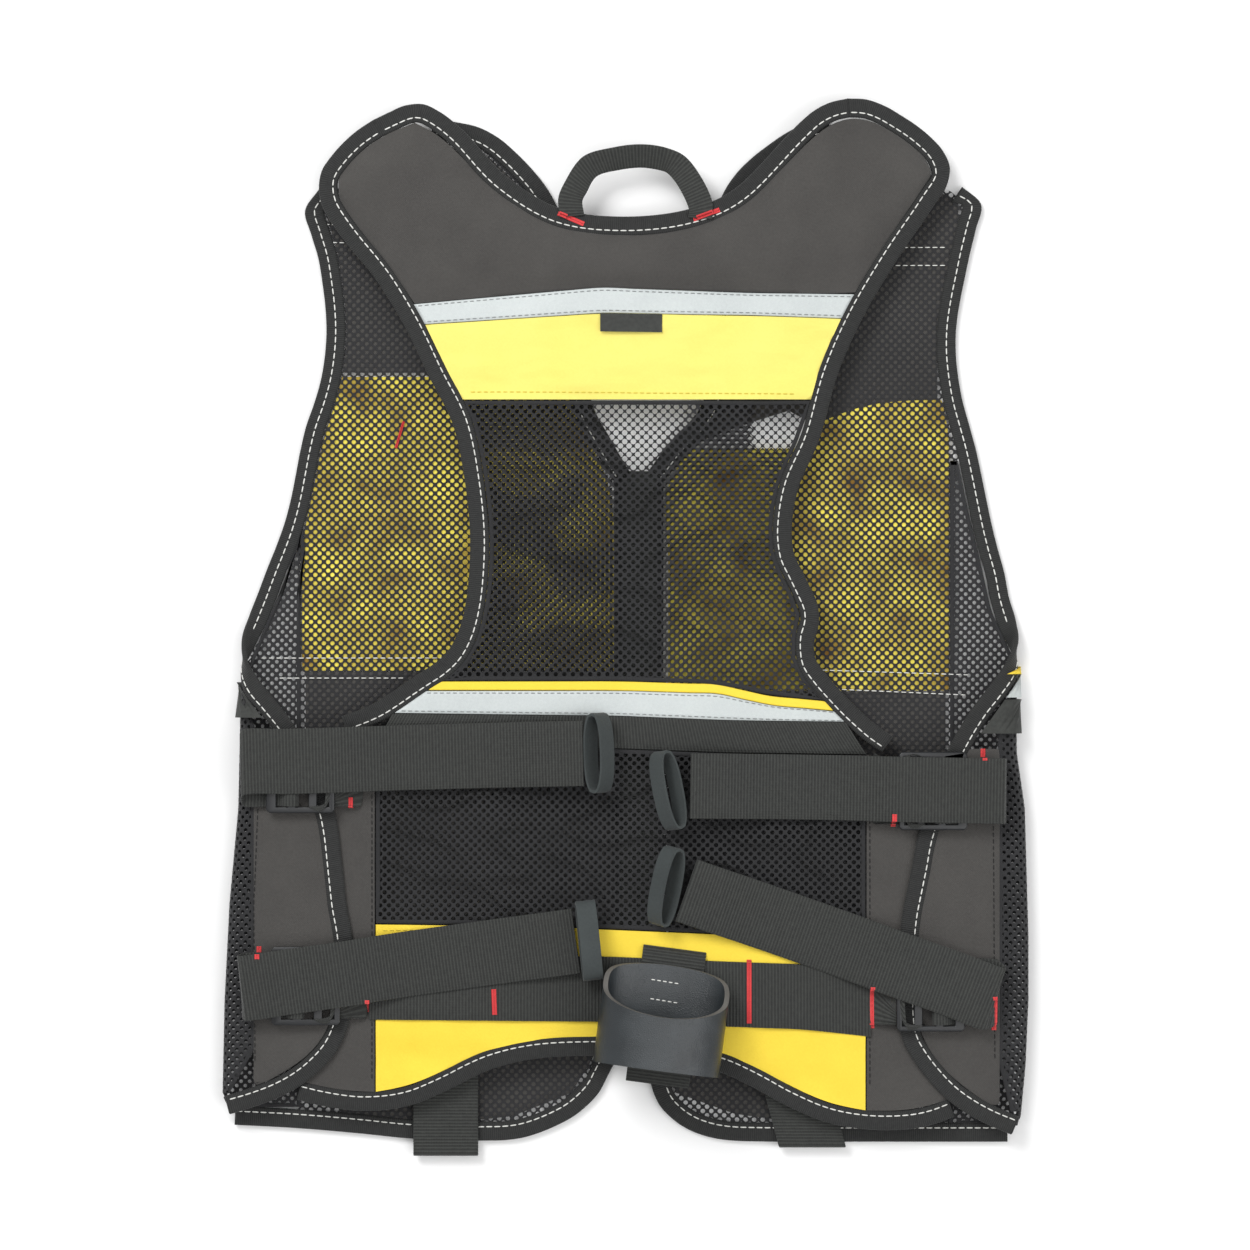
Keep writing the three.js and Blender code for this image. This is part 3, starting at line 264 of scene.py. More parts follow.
def settled(node, left, right, outs):
    """Rails in an order that never changes: the right rail is the one next to the cloth's middle."""
    reading = np.array([0.37, 1.0, 0.11])
    if (left[0] + right[0]) @ reading < (left[-1] + right[-1]) @ reading:
        left, right, outs = left[::-1], right[::-1], outs[::-1]
    hand = {"left": -0.3, "right": 0.3}.get(node.split("_")[-1], 0) if node.startswith("front") else 0
    middle = np.array([hand * WIDTH, 0.1 * LENGTH])
    far = [np.linalg.norm(rail[:, :2] - middle, axis=1).sum() for rail in (left, right)]
    if far[1] > far[0]:
        left, right = right, left
    return left, right, outs if outs[0] @ np.array([0.1, 0.2, 1.0]) > 0 else -outs


def strip_rails(node, thickness):
    """The two long edges of a ribbon and its outward directions, found from its solid."""
    shape = cad_mesh(node)
    partner = {}
    for edge in shape.edges:
        if abs(edge.calc_length() - thickness) < 0.004 * MM:
            a, b = edge.verts
            partner.setdefault(a, []).append(b)
            partner.setdefault(b, []).append(a)
    mate = {}
    for vert, options in partner.items():
        normal = vert.normal
        mate[vert] = max(options, key=lambda other: abs((other.co - vert.co).normalized().dot(normal)))
    following = {}
    for face in shape.faces:
        pairs = {frozenset((v, mate.get(v))) for v in face.verts}
        if len(pairs) == 2 and all(None not in pair for pair in pairs):
            a, b = pairs
            following.setdefault(a, set()).add(b)
            following.setdefault(b, set()).add(a)
    start = next(iter(following))
    loop = [start]
    while True:
        options = [p for p in following[loop[-1]] if p not in loop[-2:]]
        if not options or (len(loop) > 2 and start in options):
            break
        loop.append(options[0])
    middles = []
    outs = []
    for pair in loop:
        a, b = pair
        middles.append(np.array((a.co + b.co) / 2))
        outs.append(np.array((a.co - b.co).normalized()))
    middles = np.array(middles)
    outs = np.array(outs)
    for index in range(1, len(outs)):
        if outs[index].dot(outs[index - 1]) < 0:
            outs[index] *= -1
    count = len(loop) // 2
    best = None
    for first in range(len(loop)):
        order = [(first + step) % len(loop) for step in range(len(loop))]
        left = order[:count]
        right = order[count:][::-1]
        cost = float(((middles[left] - middles[right]) ** 2).sum())
        if best is None or cost < best[0]:
            best = (cost, left, right)
    shape.free()
    return settled(node, middles[best[1]], middles[best[2]], outs[best[1]] + outs[best[2]])


def resample(rows, step, power=0.5):
    """Smooth line through rows of numbers, whose first three columns are the place."""
    rows = np.asarray(rows, float)
    gaps = np.linalg.norm(np.diff(rows[:, :3], axis=0), axis=1)
    padded = np.vstack([2 * rows[0] - rows[1], rows, 2 * rows[-1] - rows[-2]])
    knots = np.concatenate([[0], np.cumsum(np.concatenate([gaps[:1], gaps, gaps[-1:]]) ** power)])
    result = []
    for index in range(1, len(padded) - 2):
        t0, t1, t2, t3 = knots[index - 1 : index + 3]
        p0, p1, p2, p3 = padded[index - 1 : index + 3]
        pieces = max(1, int(round(gaps[index - 1] / step)))
        for t in np.linspace(t1, t2, pieces, endpoint=False):
            a1 = (t1 - t) / (t1 - t0) * p0 + (t - t0) / (t1 - t0) * p1
            a2 = (t2 - t) / (t2 - t1) * p1 + (t - t1) / (t2 - t1) * p2
            a3 = (t3 - t) / (t3 - t2) * p2 + (t - t2) / (t3 - t2) * p3
            b1 = (t2 - t) / (t2 - t0) * a1 + (t - t0) / (t2 - t0) * a2
            b2 = (t3 - t) / (t3 - t1) * a2 + (t - t1) / (t3 - t1) * a3
            result.append((t2 - t) / (t2 - t1) * b1 + (t - t1) / (t2 - t1) * b2)
    result.append(rows[-1])
    return np.array(result)


# Outermost line of each side as the CAD has it: shares of the width and the length
OUTER = {
    -1: [(0.472, 0.02), (0.475, -0.03), (0.479, -0.169), (0.49, -0.26), (0.496, -0.351), (0.4985, -0.44)],
    1: [(0.486, 0.02), (0.484, -0.06), (0.484, -0.116), (0.494, -0.169), (0.4985, -0.29),
        (0.4985, -0.351), (0.495, -0.412), (0.486, -0.485)],
}
def outer_x(hand, y):
    """How far a side's outermost line is from the middle."""
    line = OUTER[hand][::-1]
    return float(np.interp(y, [share * LENGTH for _, share in line], [share * WIDTH for share, _ in line]))


STRIPS = {}
CUTS = {}
END_REACH = 0.35 * MM


def stand_for(obj, node):
    """The piece takes a CAD node's place and moves with the whole vest."""
    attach(obj, "root")
    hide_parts(node)


def strip(node, thickness, material, round_edge, step=2.0, wider=0.0, rails=None):
    """Ribbon rebuilt from its solid, with rounded edges and a lay that its ribs follow."""
    left, right, outs = rails or strip_rails(node, thickness * MM)
    middle = (left + right) / 2
    across = (right - left) * (1 + wider * MM / np.linalg.norm(right - left, axis=1)[:, None])
    rows = resample(np.hstack([middle, across, outs]), step * MM)
    middle, across, outs = rows[:, :3], rows[:, 3:6], rows[:, 6:9]
    outs /= np.linalg.norm(outs, axis=1)[:, None]
    if outs[:, 2].sum() < 0 and "strap" not in node:
        outs = -outs
    for end, near in ((0, 1), (-1, -2)):
        middle[end] += (middle[end] - middle[near]) / np.linalg.norm(middle[end] - middle[near]) * END_REACH
    width = float(np.median(np.linalg.norm(across, axis=1)))
    reach = round_edge * MM / width
    side = [(0.0, 0.0), (0.12, 0.48), (0.4, 0.8), (1.0, 1.0)]
    upper = [(share * reach, height) for share, height in side]
    centre = [(s, 1.0) for s in (0.2, 0.35, 0.5, 0.65, 0.8)]
    top = upper + centre + [(1 - share, height) for share, height in reversed(upper)]
    ring = top + [(share, -height) for share, height in reversed(top[1:-1])]
    along = np.concatenate([[0], np.cumsum(np.linalg.norm(np.diff(middle, axis=0), axis=1))])
    points, uvs, faces = [], [], []
    for index in range(len(middle)):
        for share, height in ring:
            offset = outs[index] * (thickness * MM / 2) * height
            points.append(middle[index] + across[index] * (share - 0.5) + offset)
            uvs.append((along[index], share * width))
    size = len(ring)
    for row in range(len(middle) - 1):
        for spot in range(size):
            a, b = row * size + spot, row * size + (spot + 1) % size
            faces.append((a, b, b + size, a + size))
    faces.append(tuple(range(size))[::-1])
    faces.append(tuple((len(middle) - 1) * size + index for index in range(size)))
    shape = bmesh.new()
    obj = make(f"{node}_look", points, faces, material, uvs)
    shape.from_mesh(obj.data)
    bmesh.ops.recalc_face_normals(shape, faces=shape.faces)
    shape.to_mesh(obj.data)
    shape.free()
    stand_for(obj, node)
    STRIPS[node] = (middle, across, outs, width, thickness * MM)
    return obj


def wrinkle(x, y, size, height, seed):
    return height * noise.noise(Vector((x / size, y / size, seed)))


def cloth(node, material, levels=2, height=0.5, size=30.0, stretch=(1.0, 1.0), seed=1.0, lift=0.0, grow=0.0):
    """Smooth copy of a cloth node; wrinkles move both of its faces, and grow reaches under its binding."""
    shape = cad_mesh(node)
    crease = shape.edges.layers.float.new("crease_edge")
    sharp = set()
    for edge in shape.edges:
        if len(edge.link_faces) == 2 and edge.calc_face_angle() > math.radians(40):
            sharp.add(edge)
            edge[crease] = 1.0
    corner = shape.verts.layers.float.new("crease_vert")
    for vert in shape.verts:
        ways = [(e.other_vert(vert).co - vert.co).normalized() for e in vert.link_edges if e in sharp]
        straight = min((a.dot(b) for a in ways for b in ways), default=-1)
        vert[corner] = 1.0 if ways and straight > -math.cos(math.radians(38)) else 0.0
    bmesh.ops.join_triangles(
        shape, faces=shape.faces, angle_face_threshold=0.3, angle_shape_threshold=1.2,
    )
    mesh = bpy.data.meshes.new(f"{node}_look")
    shape.to_mesh(mesh)
    shape.free()
    obj = bpy.data.objects.new(f"{node}_look", mesh)
    bpy.context.scene.collection.objects.link(obj)
    modifier = obj.modifiers.new("smooth", "SUBSURF")
    modifier.levels = levels
    bpy.context.view_layer.objects.active = obj
    bpy.ops.object.modifier_apply(modifier="smooth")
    normals = [tuple(vert.normal) for vert in obj.data.vertices]
    for vert, (aside, ahead, up) in zip(obj.data.vertices, normals):
        x, y = vert.co.x / stretch[0], vert.co.y / stretch[1]
        wave = wrinkle(x, y, size * MM, height * MM, seed)
        wave += wrinkle(x, y, size * MM / 3, height * MM * 0.35, seed + 5)
        vert.co.z += min(wave, min(height, 1.5) * MM) + lift * MM
        if abs(up) < 0.9:
            vert.co.x += aside * grow * MM
            vert.co.y += ahead * grow * MM
    spread = np.ptp([tuple(vert.co) for vert in obj.data.vertices], axis=0)
    CUTS[node] = (spread[0], spread[1], sum(face.area for face in obj.data.polygons) / 2)
    obj.data.materials.append(FINISHES[material])
    obj.data.shade_smooth()
    obj.data.set_sharp_from_angle(angle=math.radians(38))
    stand_for(obj, node)
    return obj


# Perforated mesh: rows of holes, each half a pitch aside of the next
HOLE_PITCH = 5.3 * MM
HOLE_RADIUS = 1.45 * MM
WIDE_HOLE = 1.24
FADE = 16 * MM


def outline_of(node, place):
    """Outline of a node's upper skin, in the flat coordinates that place gives for a vertex."""
    shape = cad_mesh(node)
    skin = {f for f in shape.faces if place.skin(f)}
    edges = [e for e in shape.edges if sum(f in skin for f in e.link_faces) == 1]
    links = {}
    for edge in edges:
        a, b = edge.verts
        links.setdefault(a, []).append(b)
        links.setdefault(b, []).append(a)
    first = next(iter(links))
    loop = [first]
    while True:
        following = [v for v in links[loop[-1]] if v not in loop[-2:]]
        if not following or (len(loop) > 2 and first in following):
            break
        loop.append(following[0])
    result = np.array([place.flat(v.co) for v in loop])
    shape.free()
    if isinstance(place, Roll):
        low = (result[:, 1] < result[:, 1].min() + 3 * MM) & (result[:, 0] < 0)
        result[low, 1] -= 10 * MM
    return result


class Plan:
    """Places on a sheet that lies flat: the flat coordinates are x and y."""

    def __init__(self, node, thickness):
        shape = cad_mesh(node)
        self.tree = BVHTree.FromBMesh(shape)
        shape.free()
        self.half = thickness / 2

    def skin(self, face):
        return face.normal.z > 0.3

    def flat(self, point):
        return point.x, point.y

    def lift(self, x, y):
        for dx, dy in ((0, 0), (1, 0), (-1, 0), (0, 1), (0, -1), (2, 2), (-2, -2), (2, -2), (-2, 2)):
            hit = self.tree.ray_cast(Vector((x + dx * 0.5 * MM, y + dy * 0.5 * MM, 1)), Vector((0, 0, -1)))
            if hit[0] is not None:
                return hit[0].z - self.half
        near = self.tree.find_nearest(Vector((x, y, 0.02)))
        return near[0].z - self.half

    def space(self, x, y, offset, fade=0.0):
        ridge = 1 - abs(wrinkle(x + 0.5 * y, y * 1.9, 48 * MM, 2.6, 3.0))
        fold = 5 * MM * max(ridge, 0) ** 3 - 2.8 * MM
        fine = wrinkle(x, y, 15 * MM, 1.2 * MM, 8.0)
        z = self.lift(x, y) + fade * min(fold + fine, 1.6 * MM)
        return (x, y, z + offset)


class Front:
    """Places on the lining of a front, which lies flat; it runs on beneath its tapes."""

    def __init__(self, hand, sign):
        seam = 0.402 * WIDTH
        neck = STRIPS[f"front_neck_tape_{hand}"][0]
        hem = STRIPS[f"front_hem_tape_{hand}"][0]
        arm = STRIPS[f"front_armhole_tape_{hand}"][0]
        neck = neck[np.argsort(-neck[:, 1])]
        hem = hem if abs(hem[0, 0]) < abs(hem[-1, 0]) else hem[::-1]
        hem = hem[sign * hem[:, 0] < seam]
        top = (0.16 if sign > 0 else 0.12) * LENGTH
        arm = arm[(arm[:, 2] < FRONT_LEVEL + 0.5 * MM) & (arm[:, 1] > top)]
        arm = arm[np.argsort(arm[:, 1])]
        lap = sign * (seam + 2.5 * MM)
        corners = [(lap, hem[-1, 1]), (lap, top), (arm[0, 0], top)]
        line = np.vstack([neck[:, :2], hem[:, :2], corners, arm[:, :2]])
        keep = np.concatenate([[True], np.linalg.norm(np.diff(line, axis=0), axis=1) > 0.3 * MM])
        self.outline = line[keep]

    def space(self, x, y, offset, fade=0.0):
        return (x, y, FRONT_LEVEL - 0.2 * MM + wrinkle(x, y, 30 * MM, 0.4 * MM, 5.0) * fade + offset)


FRONT_LEVEL = 3.2 * MM


def back_height(x):
    return (13.8 + 6 * max(math.cos(math.pi * x / WIDTH), 0)) * MM


class Roll:
    """Places on a gusset that rolls round a side: the first flat coordinate is the girth."""

    def __init__(self, hand):
        self.hand = hand
        self.radius = (back_height(WIDTH / 2) + 3 * MM - FRONT_LEVEL) / 2
        self.quarter = math.pi / 2 * self.radius

    def skin(self, face):
        middle = face.calc_center_median()
        flat = self.flat(middle)
        return face.normal.dot(Vector(self.out(*flat))) > 0.3

    def middle(self, y):
        return outer_x(self.hand, y) - self.radius

    def flat(self, point):
        aside = self.hand * point.x - self.middle(point.y)
        if aside <= 0:
            layer = 1 if point.z > FRONT_LEVEL + self.radius else -1
            return layer * (self.quarter - aside), point.y
        return math.atan2(point.z - FRONT_LEVEL - self.radius, aside) * self.radius, point.y

    def out(self, along, y):
        if abs(along) >= self.quarter:
            return 0, 0, math.copysign(1, along)
        turn = along / self.radius
        return self.hand * math.cos(turn), 0, math.sin(turn)

    def space(self, along, y, offset, fade=0.0):
        out = self.out(along, y)
        middle = self.middle(y)
        if abs(along) >= self.quarter:
            x = middle - (abs(along) - self.quarter)
            z = FRONT_LEVEL if along < 0 else back_height(x) + 3 * MM
        else:
            x = middle + self.radius * math.cos(along / self.radius)
            extra = max(back_height(middle) + 3 * MM - FRONT_LEVEL - 2 * self.radius, 0)
            turn = math.sin(along / self.radius)
            z = FRONT_LEVEL + self.radius + self.radius * turn + extra * max(turn, 0)
        return (self.hand * x + out[0] * offset, y, z + out[2] * offset)


def inside(points, outline):
    """Which of the points lie in a closed outline."""
    result = np.zeros(len(points), bool)
    x, y = points[:, 0], points[:, 1]
    for a, b in zip(outline, np.roll(outline, -1, axis=0)):
        crosses = (a[1] > y) != (b[1] > y)
        if crosses.any():
            result ^= crosses & (x < (b[0] - a[0]) * (y - a[1]) / (b[1] - a[1] + 1e-12) + a[0])
    return result


def nearest_on(points, outline):
    a = outline
    b = np.roll(outline, -1, axis=0)
    d = b - a
    share = ((points[:, None] - a[None]) * d[None]).sum(2) / np.maximum((d * d).sum(1), 1e-12)[None]
    spots = a[None] + np.clip(share, 0, 1)[..., None] * d[None]
    far = ((spots - points[:, None]) ** 2).sum(2)
    pick = far.argmin(1)
    row = np.arange(len(points))
    return spots[row, pick], np.sqrt(far[row, pick])


def perforated(node, place, thickness, closed=True, keep=None, wide=None, holes=1.0):
    """Sheet of real holes inside a node's outline; wide says where the holes are larger."""
    outline = place.outline if isinstance(place, Front) else outline_of(node, place)
    low, high = outline.min(0), outline.max(0)
    half = HOLE_PITCH / 2
    columns = np.arange(low[0] - half, high[0] + half, half)
    rows = np.arange(low[1] - half, high[1] + half, half)
    centres = np.array([
        (x, y) for i, x in enumerate(columns) for j, y in enumerate(rows) if (i + j) % 2 == 0
    ])
    centres = centres[inside(centres, outline)]
    if keep is not None:
        centres = centres[keep(centres)]
    corners = half * np.array([(1, 0), (0, 1), (-1, 0), (0, -1)])
    turns = np.radians([0, 45, 90, 135, 180, 225, 270, 315])
    hole = holes * HOLE_RADIUS * np.stack([np.cos(turns), np.sin(turns)], 1)
    index = {}
    flat, faces = [], []

    def vertex(spot):
        key = (round(spot[0] / (0.05 * MM)), round(spot[1] / (0.05 * MM)))
        if key not in index:
            index[key] = len(flat)
            flat.append(spot)
        return index[key]

    for centre in centres:
        outer = [vertex(tuple(centre + corner)) for corner in corners]
        start = len(flat)
        larger = WIDE_HOLE if wide is not None and wide(*centre) else 1.0
        flat.extend(tuple(centre + spot * larger) for spot in hole)
        for side in range(4):
            a, b = outer[side], outer[(side + 1) % 4]
            first = start + 2 * side
            second = start + 2 * side + 1
            third = start + (2 * side + 2) % 8
            faces += [(a, second, first), (a, b, second), (b, third, second)]
    flat = np.array(flat)
    fades = np.zeros(len(flat))
    for begin in range(0, len(flat), 4000):
        part = flat[begin : begin + 4000]
        spots, far = nearest_on(part, outline)
        outside = ~inside(part, outline)
        part[outside] = spots[outside]
        fades[begin : begin + 4000] = np.where(outside, 0, np.clip(far / FADE, 0, 1))
    skins = [thickness / 2, -thickness / 2] if closed else [0.0]
    points = [place.space(x, y, offset, fade) for offset in skins for (x, y), fade in zip(flat, fades)]
    total = len(flat)
    solid = list(faces)
    if closed:
        solid += [tuple(total + v for v in reversed(face)) for face in faces]
        edges = {}
        for face in faces:
            for a, b in zip(face, face[1:] + face[:1]):
                edges[(a, b)] = True
        rim = [(a, b) for a, b in edges if (b, a) not in edges]
        solid += [(b, a, total + a, total + b) for a, b in rim]
    obj = make(f"{node}_look", points, solid, "mesh", smooth=False)
    stand_for(obj, node)
    area = sum(face.area for face in obj.data.polygons) / len(skins)
    CUTS[node] = (*np.ptp(outline, axis=0), area)
    return obj


def seam_rim(node, place, thickness, width):
    """Plain rim of a perforated sheet along its seams."""
    outline = place.outline if isinstance(place, Front) else outline_of(node, place)
    points, faces = [], []
    count = len(outline)
    for index in range(count):
        a, b, c = outline[index - 1], outline[index], outline[(index + 1) % count]
        along = (c - a) / (np.linalg.norm(c - a) + 1e-12)
        normal = np.array([-along[1], along[0]])
        probe = (b + normal * width)[None]
        if not inside(probe, outline)[0]:
            normal = -normal
        spot = b + normal * width
        for x, y in (b, spot):
            for offset in (-thickness / 2, thickness / 2):
                points.append(place.space(x, y, offset * 1.1))
    for index in range(count):
        a, b = 4 * index, 4 * ((index + 1) % count)
        faces += [(a + 1, a + 3, b + 3, b + 1), (a, b, b + 2, a + 2), (a + 3, a + 2, b + 2, b + 3),
                  (a, a + 1, b + 1, b)]
    obj = make(f"{node}_rim", points, faces, "mesh")
    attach(obj, "root")
    return obj


# Threads
def capsule_rows():
    ring = [(math.cos(a), math.sin(a)) for a in np.linspace(0, 2 * math.pi, 6, endpoint=False)]
    return ring, [(0.0, 0.45), (0.18, 1.0), (0.82, 1.0), (1.0, 0.45)]


def threads(name, dashes, radius, material):
    """Short threads; each has two ends and the direction out of the cloth."""
    ring, rows = capsule_rows()
    points, faces = [], []
    for start, end, out in dashes:
        along = end - start
        side = np.cross(along, out)
        side /= np.linalg.norm(side) + 1e-12
        base = len(points)
        for share, size in rows:
            middle = start + along * share + out * radius * (0.6 if share in (0.0, 1.0) else 1.0) * 0.5
            for c, s in ring:
                points.append(middle + side * radius * size * c + out * radius * size * s * 0.8)
        for row in range(len(rows) - 1):
            for step in range(6):
                a, b = base + row * 6 + step, base + row * 6 + (step + 1) % 6
                faces.append((a, b, b + 6, a + 6))
        faces.append(tuple(base + i for i in reversed(range(6))))
        faces.append(tuple(base + 18 + i for i in range(6)))
    obj = make(name, points, faces, material)
    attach(obj, "root")
    return obj


def dashes_on(node, share_mm, pitch, dash, inner=True, lift=0.0):
    """Stitch places along a rebuilt ribbon, share_mm from one of its edges."""
    middle, across, outs, width, thickness = STRIPS[node]
    share = share_mm * MM / width
    share = share if inner else 1 - share
    line = middle + across * (share - 0.5) + outs * (thickness / 2 + lift * MM)
    along = np.concatenate([[0], np.cumsum(np.linalg.norm(np.diff(line, axis=0), axis=1))])
    result = []
    start = 1.5 * MM
    while start + dash * MM < along[-1]:
        ends = [np.array([np.interp(start + d, along, line[:, k]) for k in range(3)]) for d in (0, dash * MM)]
        out = np.array([np.interp(start, along, outs[:, k]) for k in range(3)])
        result.append((ends[0], ends[1], out))
        start += pitch * MM
    return result


TAPE = 2.6
WEBBING = 1.3
CLOTH = 1.5

TAPES = ["armhole_tape_left", "armhole_tape_right", "neck_tape", "hem_tape"]
for hand in ("left", "right"):
    TAPES += [f"front_{part}_tape_{hand}" for part in ("armhole", "neck", "hem")]
for node in TAPES:
    strip(node, TAPE, "tape", 1.1, wider=1.8)

STRAP_NAMES = ["upper_left", "lower_left", "upper_right", "lower_right"]
for name in STRAP_NAMES:
    strip(f"strap_{name}", WEBBING, "webbing", 0.6, 1.5)
    strip(f"buckle_tab_{name}", WEBBING, "webbing", 0.6, 0.8)
for node in ("carry_handle", "loop_hanger", "lower_belt"):
    strip(node, WEBBING, "webbing", 0.6, 1.5)


LOOP_HALF = 20 * MM
LOOP_FOOT = -LENGTH / 2 + 1.05 * MM
LOOP_LAYERS = (5.55 * MM, 8.95 * MM)


def hem_loop_rails(x, degrees):
    """Edges of a webbing loop that is folded in half and hangs from the hem."""
    turn = math.radians(degrees)
    along = np.array([-math.sin(turn), math.cos(turn), 0.0])
    across = np.array([1 / math.cos(turn), 0.0, 0.0])
    foot = np.array([x * WIDTH, LOOP_FOOT + math.sin(turn) * LOOP_HALF, 0.0])
    low, high = LOOP_LAYERS
    middle, outs = [], []
    for reach in (20, 10, 2.2):
        middle.append(foot + along * reach * MM + np.array([0, 0, low]))
        outs.append((0, 0, -1.0))
    for angle in (-60, -30, 0, 30, 60):
        a = math.radians(angle)
        centre = foot + along * 2.0 * MM + np.array([0, 0, (low + high) / 2])
        out = -along * math.cos(a) + np.array([0, 0, math.sin(a)])
        middle.append(centre + out * (high - low) / 2)
        outs.append(out)
    for reach in (2.2, 14, 30, 44, 58):
        middle.append(foot + along * reach * MM + np.array([0, 0, high - 0.6 * MM * (2 < reach < 40)]))
        outs.append((0, 0, 1.0))
    middle, outs = np.array(middle), np.array(outs)
    return middle - across * LOOP_HALF, middle + across * LOOP_HALF, outs


strip("hem_loop_left", WEBBING, "webbing", 0.6, 1.0, rails=hem_loop_rails(-0.223, 0))
strip("hem_loop_right", WEBBING, "webbing", 0.6, 1.0, rails=hem_loop_rails(0.232, 15))
strip("waist_webbing", CLOTH, "webbing", 0.5, wider=0.6)
strip("front_zip", CLOTH, "webbing", 0.5, wider=18.4)
strip("waist_piping", CLOTH, "lower_yellow", 1.2, wider=0.6)
strip("upper_reflective_strip", CLOTH, "reflective", 0.4, wider=0.9)
strip("waist_reflective_strip", CLOTH, "reflective", 0.4, wider=0.6)
TRIM_REACH = 3 * MM
for node, material in (("side_webbing_left", "webbing"), ("side_webbing_right", "webbing"),
                       ("side_reflective_right", "reflective")):
    trim = cloth(node, material, 1, 0.0)
    for vert in trim.data.vertices:
        widest = outer_x(1 if vert.co.x > 0 else -1, vert.co.y) + TRIM_REACH
        vert.co.x = max(-widest, min(vert.co.x, widest))

def piping_end(beside, height):
    """End of the waist piping that comes round the right side above the reflective tape."""
    source = bpy.data.objects[f"{beside}_look"].data
    points = np.array([tuple(vert.co) for vert in source.vertices])
    low, high = points[:, 1].min(), points[:, 1].max()
    points[:, 1] = high + (points[:, 1] - low) / (high - low) * height
    faces = [tuple(face.vertices) for face in source.polygons]
    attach(make("side_piping_right", points, faces, "lower_yellow"), "root")


piping_end("side_reflective_right", 4.5 * MM)
cloth("upper_yellow_band", "yellow", 3, 2.3, 34, (1.4, 0.5), 2.0)
cloth("lower_yellow_band", "lower_yellow", 3, 2.3, 34, (1.4, 0.5), 7.0)
cloth("label_tab", "webbing", 1, 0.0)
yoke = cloth("back_yoke", "oxford", 3, 0.9, 40, (1.0, 1.0), 4.0)
for hand in ("left", "right"):
    cloth(f"back_side_strip_{hand}", "oxford", 2, 0.5, 40)
    cloth(f"wrap_strip_{hand}", "oxford", 2, 0.4, 40, lift=0.3, grow=1.6)
    shoulder = cloth(f"front_shoulder_{hand}", "oxford", 2, 0.0, lift=0.8)
    # The right shoulder reaches below its tape, up below the yoke, and down to the chest
    for vert in shoulder.data.vertices:
        x, y = vert.co.x / WIDTH, vert.co.y / LENGTH
        if x > 0.37 and y > 0.25:
            vert.co.x += 0.012 * WIDTH * min((y - 0.25) / 0.1, 1)
        if x > 0.36 and y > 0.36:
            vert.co.y += 0.016 * LENGTH * min((x - 0.36) / 0.03, 1)
        if x > 0.22 and y < 0.245:
            share = min((x - 0.22) / 0.012, 1)
            vert.co.y -= share * 0.022 * LENGTH
            vert.co.z -= share * 0.5 * MM
    chest = cloth(f"front_chest_{hand}", "shaded_yellow", 2, 0.0, lift=0.8)
    # The right chest's inner corner leaves the light square free
    for vert in chest.data.vertices:
        if 0 < vert.co.x < 0.228 * WIDTH:
            vert.co.y = min(vert.co.y, 0.172 * LENGTH)
    pocket = cloth(f"front_pocket_{hand}", "oxford", 2, 0.0, lift=0.8)
    # The pocket cloth reaches the side seam and the hem tape
    for vert in pocket.data.vertices:
        if abs(vert.co.x) > 0.33 * WIDTH and vert.co.y > -0.17 * LENGTH:
            vert.co.x = math.copysign(0.398 * WIDTH, vert.co.x)
        if vert.co.y < -0.42 * LENGTH:
            share = min(max((abs(vert.co.x) / WIDTH - 0.1) / 0.05, 0), 1)
            vert.co.y -= share * 0.028 * LENGTH

MESH = 1.4 * MM
THIN = 0.9 * MM


def lined(centres):
    """The lining leaves out the square beside the right chest panel."""
    x, y = centres[:, 0] / WIDTH, centres[:, 1] / LENGTH
    return ~((x > 0.156) & (x < 0.228) & (y > 0.172) & (y < 0.214))


def under_back(x, y):
    """Patches below the back where the chest shows through."""
    patch = noise.noise(Vector((x / 0.045, y / 0.03, 11.0))) > 0.02
    return patch and abs(x) < 0.2 * WIDTH and -0.09 * LENGTH < y < 0.17 * LENGTH


def over_floor(x, y):
    """Places of the back where nothing lies between it and the floor."""
    x, y = x / WIDTH, y / LENGTH
    square = 0.15 < x < 0.23 and 0.165 < y < 0.218
    return square or (y > 0.15 and abs(x - 0.015) < 0.075 * (y - 0.14) / 0.08)


for node in ("back_mesh_upper", "back_mesh_lower"):
    place = Plan(node, MESH)
    perforated(node, place, THIN, wide=over_floor)
    seam_rim(node, place, THIN, 2.5 * MM)
for hand, sign in (("left", -1), ("right", 1)):
    place = Front(hand, sign)
    perforated(f"front_mesh_{hand}", place, THIN, closed=False, keep=lined, wide=under_back)
    place = Roll(sign)
    perforated(f"side_gusset_{hand}", place, THIN, holes=0.84)
    seam_rim(f"side_gusset_{hand}", place, THIN, 2.5 * MM)


# Buckles, keeper loops and the leather loop
def rounded(node, material, width, segments):
    shape = cad_mesh(node)
    bmesh.ops.dissolve_limit(shape, angle_limit=0.02, verts=shape.verts, edges=shape.edges)
    mesh = bpy.data.meshes.new(f"{node}_look")
    shape.to_mesh(mesh)
    shape.free()
    obj = bpy.data.objects.new(f"{node}_look", mesh)
    bpy.context.scene.collection.objects.link(obj)
    modifier = obj.modifiers.new("edge", "BEVEL")
    modifier.width = width * MM
    modifier.segments = segments
    modifier.limit_method = "ANGLE"
    bpy.context.view_layer.objects.active = obj
    bpy.ops.object.modifier_apply(modifier="edge")
    mesh.materials.append(FINISHES[material])
    mesh.shade_smooth()
    mesh.set_sharp_from_angle(angle=math.radians(50))
    stand_for(obj, node)
    return obj


for name in STRAP_NAMES:
    rounded(f"buckle_{name}", "plastic", 0.9, 3)
    cloth(f"keeper_{name}", "elastic", 2, 0.0)

